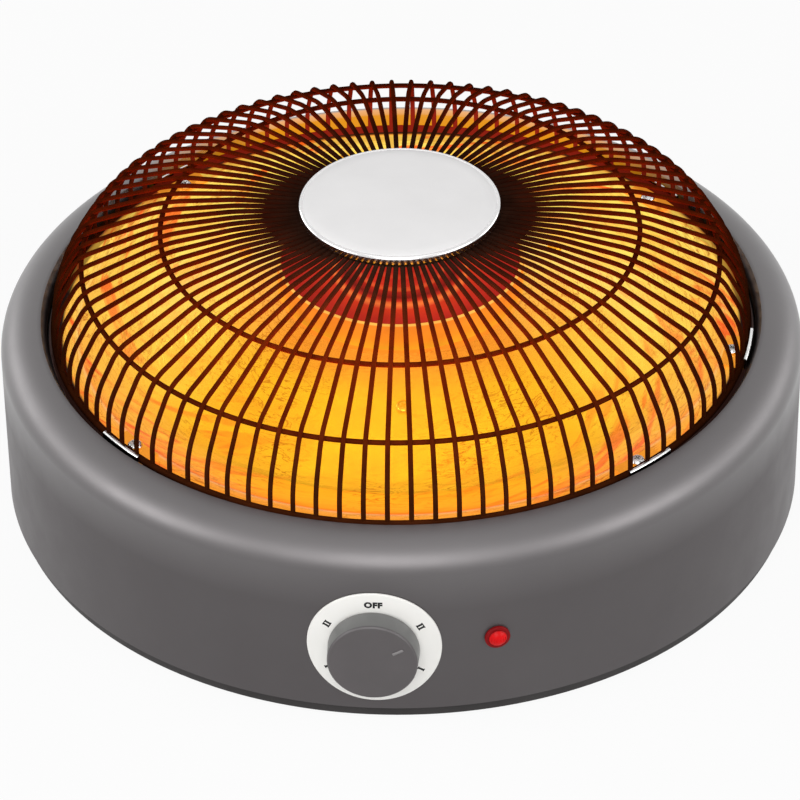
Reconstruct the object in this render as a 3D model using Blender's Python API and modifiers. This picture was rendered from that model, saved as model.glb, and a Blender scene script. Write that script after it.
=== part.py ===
"""Electric brazier: a round floor heater that glows under a welded wire guard.

Metres, +Z up. The origin is on the floor, under the middle of the round body.
The rotary switch faces -Y. Azimuths turn from -Y towards +X.
"""

import math

import bmesh
import bpy
from mathutils import Matrix, Vector

# Driving sizes of the body
BODY_RADIUS = 0.195
SHEET = 0.0012
SEAT_GAP = 0.0003
OVERRUN = 0.004
LIFT = 0.0075
WALL_TOP = 0.084
SHOULDER_WIDTH = 0.02
SHOULDER_RISE = 0.015
LIP_DROP = 0.0043
LIP_WIDTH = 0.0027
LEDGE_WIDTH = 0.0135

# Base plate, its feet and its screws
PLATE_Z = 0.003
RIM_Z = 0.0012
RIM_HEIGHT = 0.0128
RIM_WIDTH = 0.005
RIM_FIT = 0.0008
FOOT_RADIUS = 0.009
FOOT_INSET = 0.033
FOOT_ROUND = 0.0007
FOOT_STEM = 0.0032
FOOT_BARB = 0.0042
BARB_HEIGHT = 0.0026
FOOT_AZIMUTH = math.radians(45)
SLOT_LENGTH = 0.03
SLOT_WIDTH = 0.005
SLOT_INSET = 0.067
SLOT_COUNT = 9
TAB_WIDTH = 0.014
TAB_REACH = 0.014
BASE_SCREW_INSET = 0.0115
BASE_SCREW_AZIMUTH = math.radians(30)

# Screws, studs and nuts
SCREW_RADIUS = 0.0019
SCREW_HEAD_RADIUS = 0.0036
SCREW_HEAD_HEIGHT = 0.0018
SCREW_DOME_SHARES = (0.8, 0.8)
SCREW_HOLE = 0.0023
CLIP_SCREW_LENGTH = 0.009
DISH_SCREW_LENGTH = 0.008
BASE_SCREW_LENGTH = 0.0165
STUD_RADIUS = 0.003
STUD_HOLE = 0.0034
NUT_RADIUS = 0.0058
NUT_HEIGHT = 0.0045
NUT_SIDES = 6

# Guard: base ring, two wire rings and radial wires
BASE_RING_PLAY = 0.001
BASE_RING_WIRE = 0.0018
RING_WIRE = 0.00125
LOWER_RING_INSET = 0.0148
LOWER_RING_RISE = 0.0351
UPPER_RING_INSET = 0.0386
UPPER_RING_STEP = 0.016
WIRE_RADIUS = 0.0012
WIRE_COUNT = 96
WIRE_TURN = math.radians(1.69)
WIRE_FOOT_RISE = 0.016
WIRE_FOOT_INSET = 0.0008
CREST_REACH = 0.0355
CREST_STEP = 0.0074
LEAN_SHARE = 0.8
HUB_RISE = 0.0013

# Guard clips and their screws
CLIP_SHEET = 0.0009
CLIP_LENGTH = 0.026
CLIP_REACH = 0.0125
CLIP_HOOK = 0.0008
CLIP_SCREW_INSET = 0.0101
CLIP_AZIMUTHS = tuple(math.radians(a) for a in (-46.4, 46.5, 83, 133.5, -133.5))

# Hub and centre disc
HUB_PLATE_RADIUS = 0.0445
HUB_PLATE_SHEET = 0.0012
WIRE_GRIP = 0.002
DISC_RADIUS = 0.0485
DISC_STEP = 0.0055
DISC_EDGE_HEIGHT = 0.0038
DISC_EDGE_ROUND = 0.0015
DISC_CROWN = 0.0016
DISC_MIDWAY_SHARE = 0.75
SPACER_RADIUS = 0.007
STUD_OVERHANG = 0.0015

# Reflector dish
DISH_SHEET = 0.0009
COLLAR_RISE = 0.02
COLLAR_RADIUS = 0.061
COLLAR_WIDTH = 0.011
FLANK_SLOPE = math.radians(25)
FLANK_FOOT = 0.106
VALLEY_INSET = 0.0252
VALLEY_DROP = 0.0102
VALLEY_WIDTH = 0.017
VALLEY_RISE_SHARES = (0.17, 0.25)
DISH_WALL_FIT = 0.0016
DISH_RIM_GAP = 0.001
DISH_SCREW_PLACE = 0.088
DISH_SCREW_COUNT = 3
DISH_SCREW_AZIMUTH = math.radians(4.55)

# Legs under the dish
LEG_WIDTH = 0.014
LEG_SHEET = 0.0012
LEG_TAB_REACH = 0.0045
LEG_WEB_STEP = 0.005
LEG_FOOT = 0.01
LEG_GAP = 0.0006

# Radiant pan, ceramic core and heating elements
PAN_INSET = 0.0015
PAN_HEIGHT = 0.0141
PAN_SHEET = 0.0012
PAN_LIFT = 0.0013
PAN_RIM_SLOPE = 0.0055
PAN_TROUGH_INNER = 0.0335
TIER_RADII = (0.031, 0.02, 0.012)
TIER_STEP = 0.0016
TIER_FIRST_STEP = 0.0026
CORE_DEPTH = 0.0195
CORE_FLANGE_HEIGHT = 0.0024
CORE_FIT = 0.0006
ELEMENT_TUBE = 0.0028
ELEMENT_INSET = 0.0094
ELEMENT_PITCH = 0.0165
GROOVE_GAP = 0.0008
GROOVE_DEPTH = 0.0085
LEG_SPREAD = 0.0083
TERMINAL_DROP = 0.008
BRIDGE_SHEET = 0.0022
BRIDGE_WIDTH = 0.016

# Rotary switch: bezel, knob, shaft, bush and body
SWITCH_RISE = 0.0443
BEZEL_RADIUS = 0.0311
BEZEL_SHEET = 0.001
KNOB_RADIUS = 0.0213
KNOB_FACE_RADIUS = 0.0208
KNOB_EDGE = 0.0006
KNOB_DEPTH = 0.0105
KNOB_LIFT = 0.0007
KNOB_WALL = 0.0022
KNOB_HUB_RADIUS = 0.006
POINTER_LENGTH = 0.0064
POINTER_WIDTH = 0.0018
POINTER_PLACE = 0.0144
POINTER_HEIGHT = 0.0004
POINTER_ANGLE = math.radians(60)
SHAFT_RADIUS = 0.003
SHAFT_FIT = 0.0003
SHAFT_START = 0.006
BUSH_RADIUS = 0.0045
BUSH_REACH = 0.0043
BUSH_HOLE = 0.005
SWITCH_WIDTH = 0.03
SWITCH_DEPTH = 0.024
SWITCH_SETBACK = 0.0075
SWITCH_NUT_RADIUS = 0.0075
SWITCH_NUT_HEIGHT = 0.0026

# Indicator lamp
LAMP_AZIMUTH = math.radians(16.7)
LAMP_RISE = 0.0461
LAMP_FLANGE_RADIUS = 0.006
LAMP_FLANGE_HEIGHT = 0.0012
LENS_RADIUS = 0.0043
LENS_HEIGHT = 0.0026
LENS_DOME_SHARES = (0.6, 0.85)
LAMP_BARREL_RADIUS = 0.0042
LAMP_BARREL_LENGTH = 0.018
LAMP_HOLE = 0.0047
LAMP_COLLAR_RADIUS = 0.0062
LAMP_COLLAR_HEIGHT = 0.003

# Cord gland, terminals, cut-out and leads
GLAND_RISE = 0.029
GLAND_FLANGE_RADIUS = 0.011
GLAND_FLANGE_HEIGHT = 0.0035
GLAND_NOSE_RADIUS = 0.0062
GLAND_LENGTH = 0.0135
GLAND_BORE = 0.0037
GLAND_NECK = 0.0078
GLAND_HOLE = 0.0082
GLAND_TAIL = 0.0105
GLAND_NUT_RADIUS = 0.0125
GLAND_FIT = 0.0005
GLAND_NUT_HEIGHT = 0.0045
BLOCK_SIZE = (0.044, 0.018, 0.015)
BLOCK_INSET = 0.04
BLOCK_AZIMUTH = math.radians(163)
BLOCK_FUNNELS = 3
FUNNEL_RADIUS = 0.0032
CUTOUT_RADIUS = 0.0068
CUTOUT_HEIGHT = 0.0055
CUTOUT_CAP = 0.0035
CUTOUT_TIP_SHARE = 0.8
CUTOUT_RISE = 0.05
LEAD_RADIUS = 0.0013
LEAD_SLACK = 0.008
LOW_LEAD_SHARE = 0.6
HIGH_LEAD_SHARE = 0.7
FEED_LEAD_SHARES = (0.7, 0.5)

# How finely round pieces are divided
ROUND_STEPS = 48
MIDDLE_STEPS = 32
SMALL_STEPS = 24
CORE_STEPS = 16
NUT_STEPS = 12
SCREW_STEPS = 8
SHOULDER_STEPS = 4
RING_SIDES = 4
WIRES_PER_FACET = 2
ELEMENT_STEPS = 14
CLIP_STEPS = 2
LEAD_STEPS = 2
MERGE_SHARE = 0.02

# Places worked out from the sizes
SHOULDER_TOP = WALL_TOP + SHOULDER_RISE
SHOULDER_EDGE = BODY_RADIUS - SHOULDER_WIDTH
LIP_RADIUS = SHOULDER_EDGE - LIP_WIDTH
GUARD_Z = SHOULDER_TOP - LIP_DROP
CLIP_FOOT_Z = GUARD_Z - BASE_RING_WIRE - SEAT_GAP
CLIP_SCREW_PLACE = LIP_RADIUS - CLIP_SCREW_INSET
BASE_RING_RADIUS = LIP_RADIUS - BASE_RING_PLAY - CLIP_SHEET - BASE_RING_WIRE
FLANGE_Z = CLIP_FOOT_Z - CLIP_SHEET - SEAT_GAP
LEDGE_Z = FLANGE_Z - DISH_SHEET - SEAT_GAP
DISH_WALL_TOP = LIP_RADIUS - LEDGE_WIDTH - DISH_WALL_FIT
VALLEY_RADIUS = DISH_WALL_TOP - VALLEY_INSET
COLLAR_Z = GUARD_Z + COLLAR_RISE
COLLAR_BORE = COLLAR_RADIUS - COLLAR_WIDTH
OUTER_ELEMENT_RADIUS = COLLAR_BORE - CORE_FIT - ELEMENT_INSET
INNER_ELEMENT_RADIUS = OUTER_ELEMENT_RADIUS - ELEMENT_PITCH
PLATE_TOP = PLATE_Z + SHEET
WALL_INSIDE = BODY_RADIUS - SHEET
RIM_RADIUS = WALL_INSIDE - RIM_FIT
FOOT_PLACE = BODY_RADIUS - FOOT_INSET
SLOT_PLACE = BODY_RADIUS - SLOT_INSET
BASE_SCREW_PLACE = BODY_RADIUS - BASE_SCREW_INSET
LEG_WEB = DISH_SCREW_PLACE + LEG_WEB_STEP
CORE_Z = COLLAR_Z + SEAT_GAP
CORE_TOP = CORE_Z + CORE_FLANGE_HEIGHT
CORE_BOTTOM = CORE_Z - CORE_DEPTH
ELEMENT_Z = CORE_TOP - GROOVE_DEPTH + GROOVE_GAP + ELEMENT_TUBE
TERMINAL_Z = CORE_BOTTOM - TERMINAL_DROP
PAN_RADIUS = COLLAR_RADIUS - PAN_INSET
PAN_TROUGH_Z = CORE_TOP + PAN_LIFT + PAN_SHEET
PAN_TOP = PAN_TROUGH_Z + TIER_FIRST_STEP + TIER_STEP * (len(TIER_RADII) - 1)
LOWER_RING_RADIUS = BASE_RING_RADIUS - LOWER_RING_INSET
UPPER_RING_RADIUS = LOWER_RING_RADIUS - UPPER_RING_INSET
CREST_RADIUS = HUB_PLATE_RADIUS + CREST_REACH
LOWER_RING_Z = GUARD_Z + LOWER_RING_RISE
UPPER_RING_Z = LOWER_RING_Z + UPPER_RING_STEP
CREST_Z = UPPER_RING_Z + CREST_STEP
HUB_Z = CREST_Z + HUB_RISE
HUB_SLOPE = HUB_RISE / CREST_REACH
WIRE_END_RADIUS = HUB_PLATE_RADIUS - WIRE_GRIP
WIRE_END_Z = HUB_Z + WIRE_GRIP * HUB_SLOPE
HUB_PLATE_Z = WIRE_END_Z + WIRE_RADIUS + SEAT_GAP
CLAMP_PLATE_Z = HUB_Z - WIRE_RADIUS - SEAT_GAP - HUB_PLATE_SHEET
DISC_EDGE_Z = HUB_Z + DISC_STEP
DISC_UNDERSIDE = DISC_EDGE_Z + DISC_CROWN - SHEET
BEZEL_INSIDE = BODY_RADIUS + SEAT_GAP
BEZEL_FACE = BEZEL_INSIDE + BEZEL_SHEET
KNOB_BACK = BEZEL_FACE + KNOB_LIFT
KNOB_FACE = KNOB_BACK + KNOB_DEPTH
SWITCH_FRONT = WALL_INSIDE - SWITCH_SETBACK
SWITCH_BACK = SWITCH_FRONT - SWITCH_DEPTH

parts = bpy.data.collections.new("electric_brazier")
cutters = bpy.data.collections.new("cutters")
surfaces = {}


def clear_scene():
    for thing in list(bpy.data.objects):
        bpy.data.objects.remove(thing, do_unlink=True)
    bpy.context.scene.collection.children.link(parts)
    bpy.context.scene.collection.children.link(cutters)


def make_surface(name, colour, roughness, metallic):
    surface = bpy.data.materials.new(name)
    surface.use_nodes = True
    shader = surface.node_tree.nodes["Principled BSDF"]
    shader.inputs["Base Color"].default_value = (*colour, 1)
    shader.inputs["Roughness"].default_value = roughness
    shader.inputs["Metallic"].default_value = metallic
    surfaces[name] = surface


def make_surfaces():
    make_surface("grey_paint", (0.13, 0.125, 0.125), 0.35, 0.4)
    make_surface("black_paint", (0.02, 0.016, 0.015), 0.5, 0.1)
    make_surface("black_wire", (0.03, 0.014, 0.012), 0.5, 0.3)
    make_surface("bright_reflector", (0.85, 0.62, 0.3), 0.25, 1)
    make_surface("bright_steel", (0.72, 0.72, 0.71), 0.3, 1)
    make_surface("silver_plate", (0.8, 0.79, 0.8), 0.35, 0.6)
    make_surface("hot_steel", (0.35, 0.06, 0.02), 0.5, 0.5)
    make_surface("ceramic", (0.75, 0.7, 0.62), 0.7, 0)
    make_surface("element_tube", (0.8, 0.25, 0.05), 0.5, 0.2)
    make_surface("rubber", (0.02, 0.02, 0.02), 0.8, 0)
    make_surface("grey_plastic", (0.13, 0.125, 0.125), 0.4, 0)
    make_surface("black_plastic", (0.03, 0.03, 0.03), 0.45, 0)
    make_surface("white_plastic", (0.75, 0.74, 0.7), 0.5, 0)
    make_surface("red_lens", (0.75, 0.02, 0.02), 0.15, 0)
    make_surface("red_lead", (0.55, 0.05, 0.03), 0.5, 0)


def around(radius, azimuth, height=0.0):
    return Vector((radius * math.sin(azimuth), -radius * math.cos(azimuth), height))


def upright(azimuth=0.0, radius=0.0, height=0.0):
    """Local +Z stays up and local -Y points away from the middle."""
    return Matrix.Translation(around(radius, azimuth, height)) @ Matrix.Rotation(azimuth, 4, "Z")


def facing_out(azimuth, radius, height):
    """Local +Z points away from the middle, level, and local +Y points up."""
    return upright(azimuth, radius, height) @ Matrix.Rotation(math.pi / 2, 4, "X")


def add_object(name, mesh, surface=None, frame=None, collection=parts):
    thing = bpy.data.objects.new(name, mesh)
    thing.matrix_world = frame or Matrix.Identity(4)
    if surface:
        mesh.materials.append(surfaces[surface])
    collection.objects.link(thing)
    return thing


def profile_mesh(name, points, closed):
    """A line of points in the XZ plane, joined by edges."""
    mesh = bpy.data.meshes.new(name)
    shape = bmesh.new()
    corners = [shape.verts.new((radius, 0, height)) for radius, height in points]
    for first, second in zip(corners, corners[1:]):
        shape.edges.new((first, second))
    if closed:
        shape.edges.new((corners[-1], corners[0]))
    shape.to_mesh(mesh)
    shape.free()
    return mesh


def spin(thing, steps, angle=math.tau):
    screw = thing.modifiers.new("spin", "SCREW")
    screw.steps = steps
    screw.render_steps = steps
    screw.angle = angle
    screw.use_merge_vertices = True
    screw.merge_threshold = SEAT_GAP / 10
    screw.use_smooth_shade = True
    return screw


def thicken(thing, sheet):
    wall = thing.modifiers.new("wall", "SOLIDIFY")
    wall.thickness = sheet
    wall.offset = -1
    wall.use_even_offset = True


def turned(name, points, surface, steps=SMALL_STEPS, frame=None, closed=False, collection=parts):
    """A solid of revolution. The points run down its outer side, from top to bottom."""
    thing = add_object(name, profile_mesh(name, points, closed), surface, frame, collection)
    spin(thing, steps)
    return thing


def turned_sheet(name, points, sheet, surface, steps, angle=math.tau, frame=None):
    """A pressed sheet. The points follow the face that shows, outwards over it."""
    thing = add_object(name, profile_mesh(name, points, False), surface, frame)
    spin(thing, steps, angle)
    thicken(thing, sheet)
    return thing


def washer_points(outer, inner, bottom, top):
    return [(inner, top), (outer, top), (outer, bottom), (inner, bottom)]


def bent_strip(name, points, width, sheet, surface, frame=None):
    """A strip of sheet that follows the points in the XZ plane, with its width along Y."""
    mesh = bpy.data.meshes.new(name)
    shape = bmesh.new()
    near = [shape.verts.new((x, -width / 2, z)) for x, z in points]
    far = [shape.verts.new((x, width / 2, z)) for x, z in points]
    for k in range(len(points) - 1):
        shape.faces.new((near[k], near[k + 1], far[k + 1], far[k]))
    shape.to_mesh(mesh)
    shape.free()
    thing = add_object(name, mesh, surface, frame)
    thicken(thing, sheet)
    return thing


def box(name, size, centre, surface=None, frame=None, collection=parts):
    mesh = bpy.data.meshes.new(name)
    shape = bmesh.new()
    bmesh.ops.create_cube(shape, size=1)
    bmesh.ops.scale(shape, vec=size, verts=shape.verts)
    bmesh.ops.translate(shape, vec=centre, verts=shape.verts)
    shape.to_mesh(mesh)
    shape.free()
    return add_object(name, mesh, surface, frame, collection)


def rod(name, radius, bottom, top, surface=None, steps=SCREW_STEPS, frame=None, collection=parts):
    mesh = bpy.data.meshes.new(name)
    shape = bmesh.new()
    bmesh.ops.create_cone(
        shape, cap_ends=True, segments=steps, radius1=radius, radius2=radius, depth=top - bottom
    )
    bmesh.ops.translate(shape, vec=(0, 0, (top + bottom) / 2), verts=shape.verts)
    shape.to_mesh(mesh)
    shape.free()
    return add_object(name, mesh, surface, frame, collection)


def hide_cutter(cutter):
    cutter.hide_render = True
    cutter.display_type = "WIRE"
    return cutter


def join_shape(thing, tool, operation):
    """Boolean of one piece with a cutter or with something welded to it."""
    hide_cutter(tool)
    step = thing.modifiers.new(operation.lower(), "BOOLEAN")
    step.operation = operation
    step.object = tool


def drill(thing, name, radius, bottom, top, frame, steps=SCREW_STEPS):
    hole = rod(name, radius, bottom, top, steps=steps, frame=frame, collection=cutters)
    join_shape(thing, hole, "DIFFERENCE")


def tube(name, points, radius, surface, sides=1, collection=parts):
    """A round wire through the points, with closed ends, as a mesh."""
    curve = bpy.data.curves.new(name, "CURVE")
    curve.dimensions = "3D"
    curve.bevel_depth = radius
    curve.bevel_resolution = sides
    curve.use_fill_caps = True
    for line in points:
        spline = curve.splines.new("POLY")
        spline.points.add(len(line) - 1)
        for point, place in zip(spline.points, line):
            point.co = (*place, 1)
    guide = bpy.data.objects.new(name + "_line", curve)
    cutters.objects.link(guide)
    bpy.context.view_layer.update()
    mesh = bpy.data.meshes.new_from_object(guide.evaluated_get(bpy.context.evaluated_depsgraph_get()))
    bpy.data.objects.remove(guide, do_unlink=True)
    shape = bmesh.new()
    shape.from_mesh(mesh)
    bmesh.ops.remove_doubles(shape, verts=shape.verts, dist=radius * MERGE_SHARE)
    bmesh.ops.recalc_face_normals(shape, faces=shape.faces)
    shape.to_mesh(mesh)
    shape.free()
    mesh.materials.clear()
    mesh.name = name
    return add_object(name, mesh, surface, None, collection)


def wire_ring(name, radius, wire, height, surface=None, collection=parts):
    """A closed ring of wire, whose facets meet halfway between guard wires."""
    points = []
    for k in range(RING_SIDES):
        turn = -math.tau * (k + 0.5) / RING_SIDES
        points.append((radius + wire * math.cos(turn), height + wire * math.sin(turn)))
    frame = upright(WIRE_TURN + math.pi / WIRE_COUNT + math.pi / 2)
    return turned(name, points, surface, WIRE_COUNT // WIRES_PER_FACET, frame, True, collection)


def smooth_curve(points, steps):
    """A soft line through a route's own points, with a straight first and last stretch."""
    line = [Vector(points[0])]
    for k in range(1, len(points) - 2):
        before, start, end, after = (Vector(point) for point in points[k - 1:k + 3])
        for step in range(steps):
            t = step / steps
            line.append(
                0.5 * (
                    2 * start
                    + (end - before) * t
                    + (2 * before - 5 * start + 4 * end - after) * t ** 2
                    + (3 * start - before - 3 * end + after) * t ** 3
                )
            )
    line += [Vector(point) for point in points[-2:]]
    return line


def screw_points(length):
    """A round-headed screw under and over its seat at height zero."""
    across, up = SCREW_DOME_SHARES
    return [
        (0, SCREW_HEAD_HEIGHT),
        (SCREW_HEAD_RADIUS * across, SCREW_HEAD_HEIGHT * up),
        (SCREW_HEAD_RADIUS, 0),
        (SCREW_RADIUS, 0),
        (SCREW_RADIUS, -length + SCREW_RADIUS),
        (0, -length),
    ]


def flank_height(radius):
    """Top face of the dish's cone."""
    return COLLAR_Z - (radius - COLLAR_RADIUS) * math.tan(FLANK_SLOPE)


def dish_screw_frame(azimuth, lift=0.0):
    """Square to the dish's cone where a screw sits on it."""
    seat = upright(azimuth, DISH_SCREW_PLACE, flank_height(DISH_SCREW_PLACE))
    return seat @ Matrix.Rotation(FLANK_SLOPE, 4, "X") @ Matrix.Translation((0, 0, lift))


def dish_screw_azimuths():
    return [DISH_SCREW_AZIMUTH + math.tau * k / DISH_SCREW_COUNT for k in range(DISH_SCREW_COUNT)]


def quarter_azimuths(first):
    return [first + math.tau * k / 4 for k in range(4)]


def inner_wall_seat(radius):
    """How far out a flat round face of this radius can lie inside the curved wall."""
    facet = WALL_INSIDE * math.cos(math.pi / ROUND_STEPS)
    return math.sqrt(facet ** 2 - radius ** 2) - SEAT_GAP


def make_body_shell():
    points = [
        (LIP_RADIUS - LEDGE_WIDTH, LEDGE_Z),
        (LIP_RADIUS, LEDGE_Z),
        (LIP_RADIUS, SHOULDER_TOP - LIP_DROP),
    ]
    for k in range(SHOULDER_STEPS + 1):
        turn = math.pi / 2 * (1 - k / SHOULDER_STEPS)
        points.append(
            (
                SHOULDER_EDGE + SHOULDER_WIDTH * math.cos(turn),
                WALL_TOP + SHOULDER_RISE * math.sin(turn),
            )
        )
    points.append((BODY_RADIUS, LIFT))
    shell = turned_sheet("body_shell", points, SHEET, "grey_paint", ROUND_STEPS)
    tab_z = RIM_Z + RIM_HEIGHT + SEAT_GAP
    for k, azimuth in enumerate(quarter_azimuths(BASE_SCREW_AZIMUTH)):
        outer = WALL_INSIDE + SHEET / 2
        tab = box(
            f"tab_{k + 1}",
            (TAB_WIDTH, TAB_REACH, SHEET),
            (0, -outer + TAB_REACH / 2, tab_z + SHEET / 2),
            frame=upright(azimuth),
            collection=cutters,
        )
        join_shape(shell, tab, "UNION")
        drill(
            shell, f"tab_hole_{k + 1}", SCREW_HOLE, tab_z - OVERRUN, tab_z + OVERRUN,
            upright(azimuth, BASE_SCREW_PLACE),
        )
    for k, azimuth in enumerate(CLIP_AZIMUTHS):
        drill(
            shell, f"ledge_hole_{k + 1}", SCREW_HOLE, LEDGE_Z - OVERRUN, LEDGE_Z + OVERRUN,
            upright(azimuth, CLIP_SCREW_PLACE),
        )
    wall_holes = (
        ("switch", 0, BUSH_HOLE, SWITCH_RISE),
        ("lamp", LAMP_AZIMUTH, LAMP_HOLE, LAMP_RISE),
        ("gland", math.pi, GLAND_HOLE, GLAND_RISE),
    )
    for name, azimuth, radius, height in wall_holes:
        drill(
            shell, name + "_hole", radius, -OVERRUN, OVERRUN,
            facing_out(azimuth, BODY_RADIUS, height), NUT_STEPS,
        )


def make_base_plate():
    rim_inside = RIM_RADIUS - RIM_WIDTH
    points = [
        (RIM_RADIUS, RIM_Z + RIM_HEIGHT),
        (RIM_RADIUS, RIM_Z),
        (rim_inside, RIM_Z),
        (rim_inside, PLATE_Z),
        (0, PLATE_Z),
    ]
    plate = turned_sheet("base_plate", points, SHEET, "black_paint", MIDDLE_STEPS)
    for k in range(SLOT_COUNT):
        azimuth = math.tau * (k + 0.5) / SLOT_COUNT
        slot = box(
            f"vent_{k + 1}",
            (SLOT_WIDTH, SLOT_LENGTH, OVERRUN * 2),
            (0, 0, PLATE_Z),
            frame=upright(azimuth, SLOT_PLACE),
            collection=cutters,
        )
        join_shape(plate, slot, "DIFFERENCE")
    for k, azimuth in enumerate(quarter_azimuths(FOOT_AZIMUTH)):
        drill(
            plate, f"foot_hole_{k + 1}", FOOT_STEM + SEAT_GAP, PLATE_Z - OVERRUN, PLATE_Z + OVERRUN,
            upright(azimuth, FOOT_PLACE), SCREW_STEPS,
        )
    for k, azimuth in enumerate(quarter_azimuths(BASE_SCREW_AZIMUTH)):
        drill(
            plate, f"base_screw_hole_{k + 1}", SCREW_HOLE, PLATE_Z - OVERRUN, PLATE_Z + OVERRUN,
            upright(azimuth, BASE_SCREW_PLACE),
        )


def make_feet_and_base_screws():
    foot_top = PLATE_Z - SEAT_GAP
    barb_bottom = PLATE_TOP + SEAT_GAP
    points = [
        (0, barb_bottom + BARB_HEIGHT),
        (FOOT_STEM, barb_bottom + BARB_HEIGHT),
        (FOOT_BARB, barb_bottom),
        (FOOT_STEM, barb_bottom),
        (FOOT_STEM, foot_top),
        (FOOT_RADIUS, foot_top),
        (FOOT_RADIUS, FOOT_ROUND),
        (FOOT_RADIUS - FOOT_ROUND, 0),
        (0, 0),
    ]
    for k, azimuth in enumerate(quarter_azimuths(FOOT_AZIMUTH)):
        turned(f"foot_{k + 1}", points, "rubber", SCREW_STEPS, upright(azimuth, FOOT_PLACE))
    for k, azimuth in enumerate(quarter_azimuths(BASE_SCREW_AZIMUTH)):
        seat = upright(azimuth, BASE_SCREW_PLACE, PLATE_Z - SEAT_GAP)
        turned(
            f"base_screw_{k + 1}", screw_points(BASE_SCREW_LENGTH), "bright_steel", SCREW_STEPS,
            seat @ Matrix.Rotation(math.pi, 4, "X"),
        )


def dish_points():
    valley_z = GUARD_Z - VALLEY_DROP
    rim_radius = LIP_RADIUS - DISH_RIM_GAP
    half = VALLEY_WIDTH / 2
    inner_rise, outer_rise = ((FLANGE_Z - valley_z) * share for share in VALLEY_RISE_SHARES)
    return [
        (COLLAR_BORE, COLLAR_Z),
        (COLLAR_RADIUS, COLLAR_Z),
        (FLANK_FOOT, flank_height(FLANK_FOOT)),
        (VALLEY_RADIUS - half, valley_z + inner_rise),
        (VALLEY_RADIUS, valley_z),
        (VALLEY_RADIUS + half, valley_z + outer_rise),
        (DISH_WALL_TOP, FLANGE_Z),
        (rim_radius, FLANGE_Z),
    ]


def make_reflector_dish():
    dish = turned_sheet("reflector_dish", dish_points(), DISH_SHEET, "bright_reflector", MIDDLE_STEPS)
    for k, azimuth in enumerate(CLIP_AZIMUTHS):
        drill(
            dish, f"flange_hole_{k + 1}", SCREW_HOLE, FLANGE_Z - OVERRUN, FLANGE_Z + OVERRUN,
            upright(azimuth, CLIP_SCREW_PLACE),
        )
    for k, azimuth in enumerate(dish_screw_azimuths()):
        frame = dish_screw_frame(azimuth)
        drill(dish, f"dish_hole_{k + 1}", SCREW_HOLE, -OVERRUN, OVERRUN, frame)


def make_dish_legs():
    below = (DISH_SHEET + LEG_GAP) / math.cos(FLANK_SLOPE)
    foot_top = PLATE_TOP + SEAT_GAP + LEG_SHEET
    tab_end = DISH_SCREW_PLACE - LEG_TAB_REACH
    points = [
        (tab_end, flank_height(tab_end) - below),
        (LEG_WEB, flank_height(LEG_WEB) - below),
        (LEG_WEB, foot_top),
        (LEG_WEB + LEG_FOOT, foot_top),
    ]
    for k, azimuth in enumerate(dish_screw_azimuths()):
        frame = upright(azimuth) @ Matrix.Rotation(-math.pi / 2, 4, "Z")
        leg = bent_strip(f"dish_leg_{k + 1}", points, LEG_WIDTH, LEG_SHEET, "bright_steel", frame)
        reach = OVERRUN * 2
        drill(leg, f"leg_hole_{k + 1}", SCREW_HOLE, -reach, reach, dish_screw_frame(azimuth))
        turned(
            f"dish_screw_{k + 1}", screw_points(DISH_SCREW_LENGTH), "bright_steel", SCREW_STEPS,
            dish_screw_frame(azimuth, SEAT_GAP),
        )


def make_radiant_pan():
    skirt_z = COLLAR_Z + SEAT_GAP
    rim_z = skirt_z + PAN_HEIGHT
    trough_outer = PAN_RADIUS - PAN_RIM_SLOPE
    levels = [PAN_TROUGH_Z + TIER_FIRST_STEP + TIER_STEP * k for k in range(len(TIER_RADII))]
    points = [(STUD_HOLE, levels[-1])]
    for radius, top in reversed(list(zip(TIER_RADII, levels))):
        below = top - TIER_STEP if top > levels[0] else PAN_TROUGH_Z
        edge = PAN_TROUGH_INNER if top == levels[0] else radius + PAN_SHEET
        points += [(radius, top), (edge, below)]
    points += [
        (trough_outer, PAN_TROUGH_Z),
        (PAN_RADIUS - PAN_SHEET, rim_z),
        (PAN_RADIUS, rim_z),
        (PAN_RADIUS, skirt_z),
    ]
    skirt = PAN_RADIUS - PAN_SHEET
    inside = [
        (skirt, skirt_z),
        (skirt, rim_z - PAN_SHEET * 2),
        (trough_outer, PAN_TROUGH_Z - PAN_SHEET),
        (TIER_RADII[1], PAN_TROUGH_Z - PAN_SHEET),
        (STUD_HOLE, levels[1] - PAN_SHEET),
    ]
    turned("radiant_pan", points + inside, "hot_steel", SMALL_STEPS, closed=True)


def make_ceramic_core():
    spigot = COLLAR_BORE - CORE_FIT
    flange = PAN_RADIUS - PAN_SHEET - CORE_FIT
    floor = CORE_TOP - GROOVE_DEPTH
    half = ELEMENT_TUBE + GROOVE_GAP
    points = [(STUD_HOLE, CORE_TOP)]
    for radius in (INNER_ELEMENT_RADIUS, OUTER_ELEMENT_RADIUS):
        points += [
            (radius - half, CORE_TOP),
            (radius - half, floor),
            (radius + half, floor),
            (radius + half, CORE_TOP),
        ]
    points += [
        (flange, CORE_TOP),
        (flange, CORE_Z),
        (spigot, CORE_Z),
        (spigot, CORE_BOTTOM),
        (STUD_HOLE, CORE_BOTTOM),
    ]
    core = turned("ceramic_core", points, "ceramic", CORE_STEPS, closed=True)
    for name, radius in (("inner", INNER_ELEMENT_RADIUS), ("outer", OUTER_ELEMENT_RADIUS)):
        turn = math.asin(LEG_SPREAD / radius)
        for side in (-1, 1):
            drill(
                core, f"{name}_leg_hole_{side + 2}", ELEMENT_TUBE + SEAT_GAP,
                CORE_BOTTOM - OVERRUN, floor + OVERRUN / 2, upright(side * turn, radius),
            )


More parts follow.
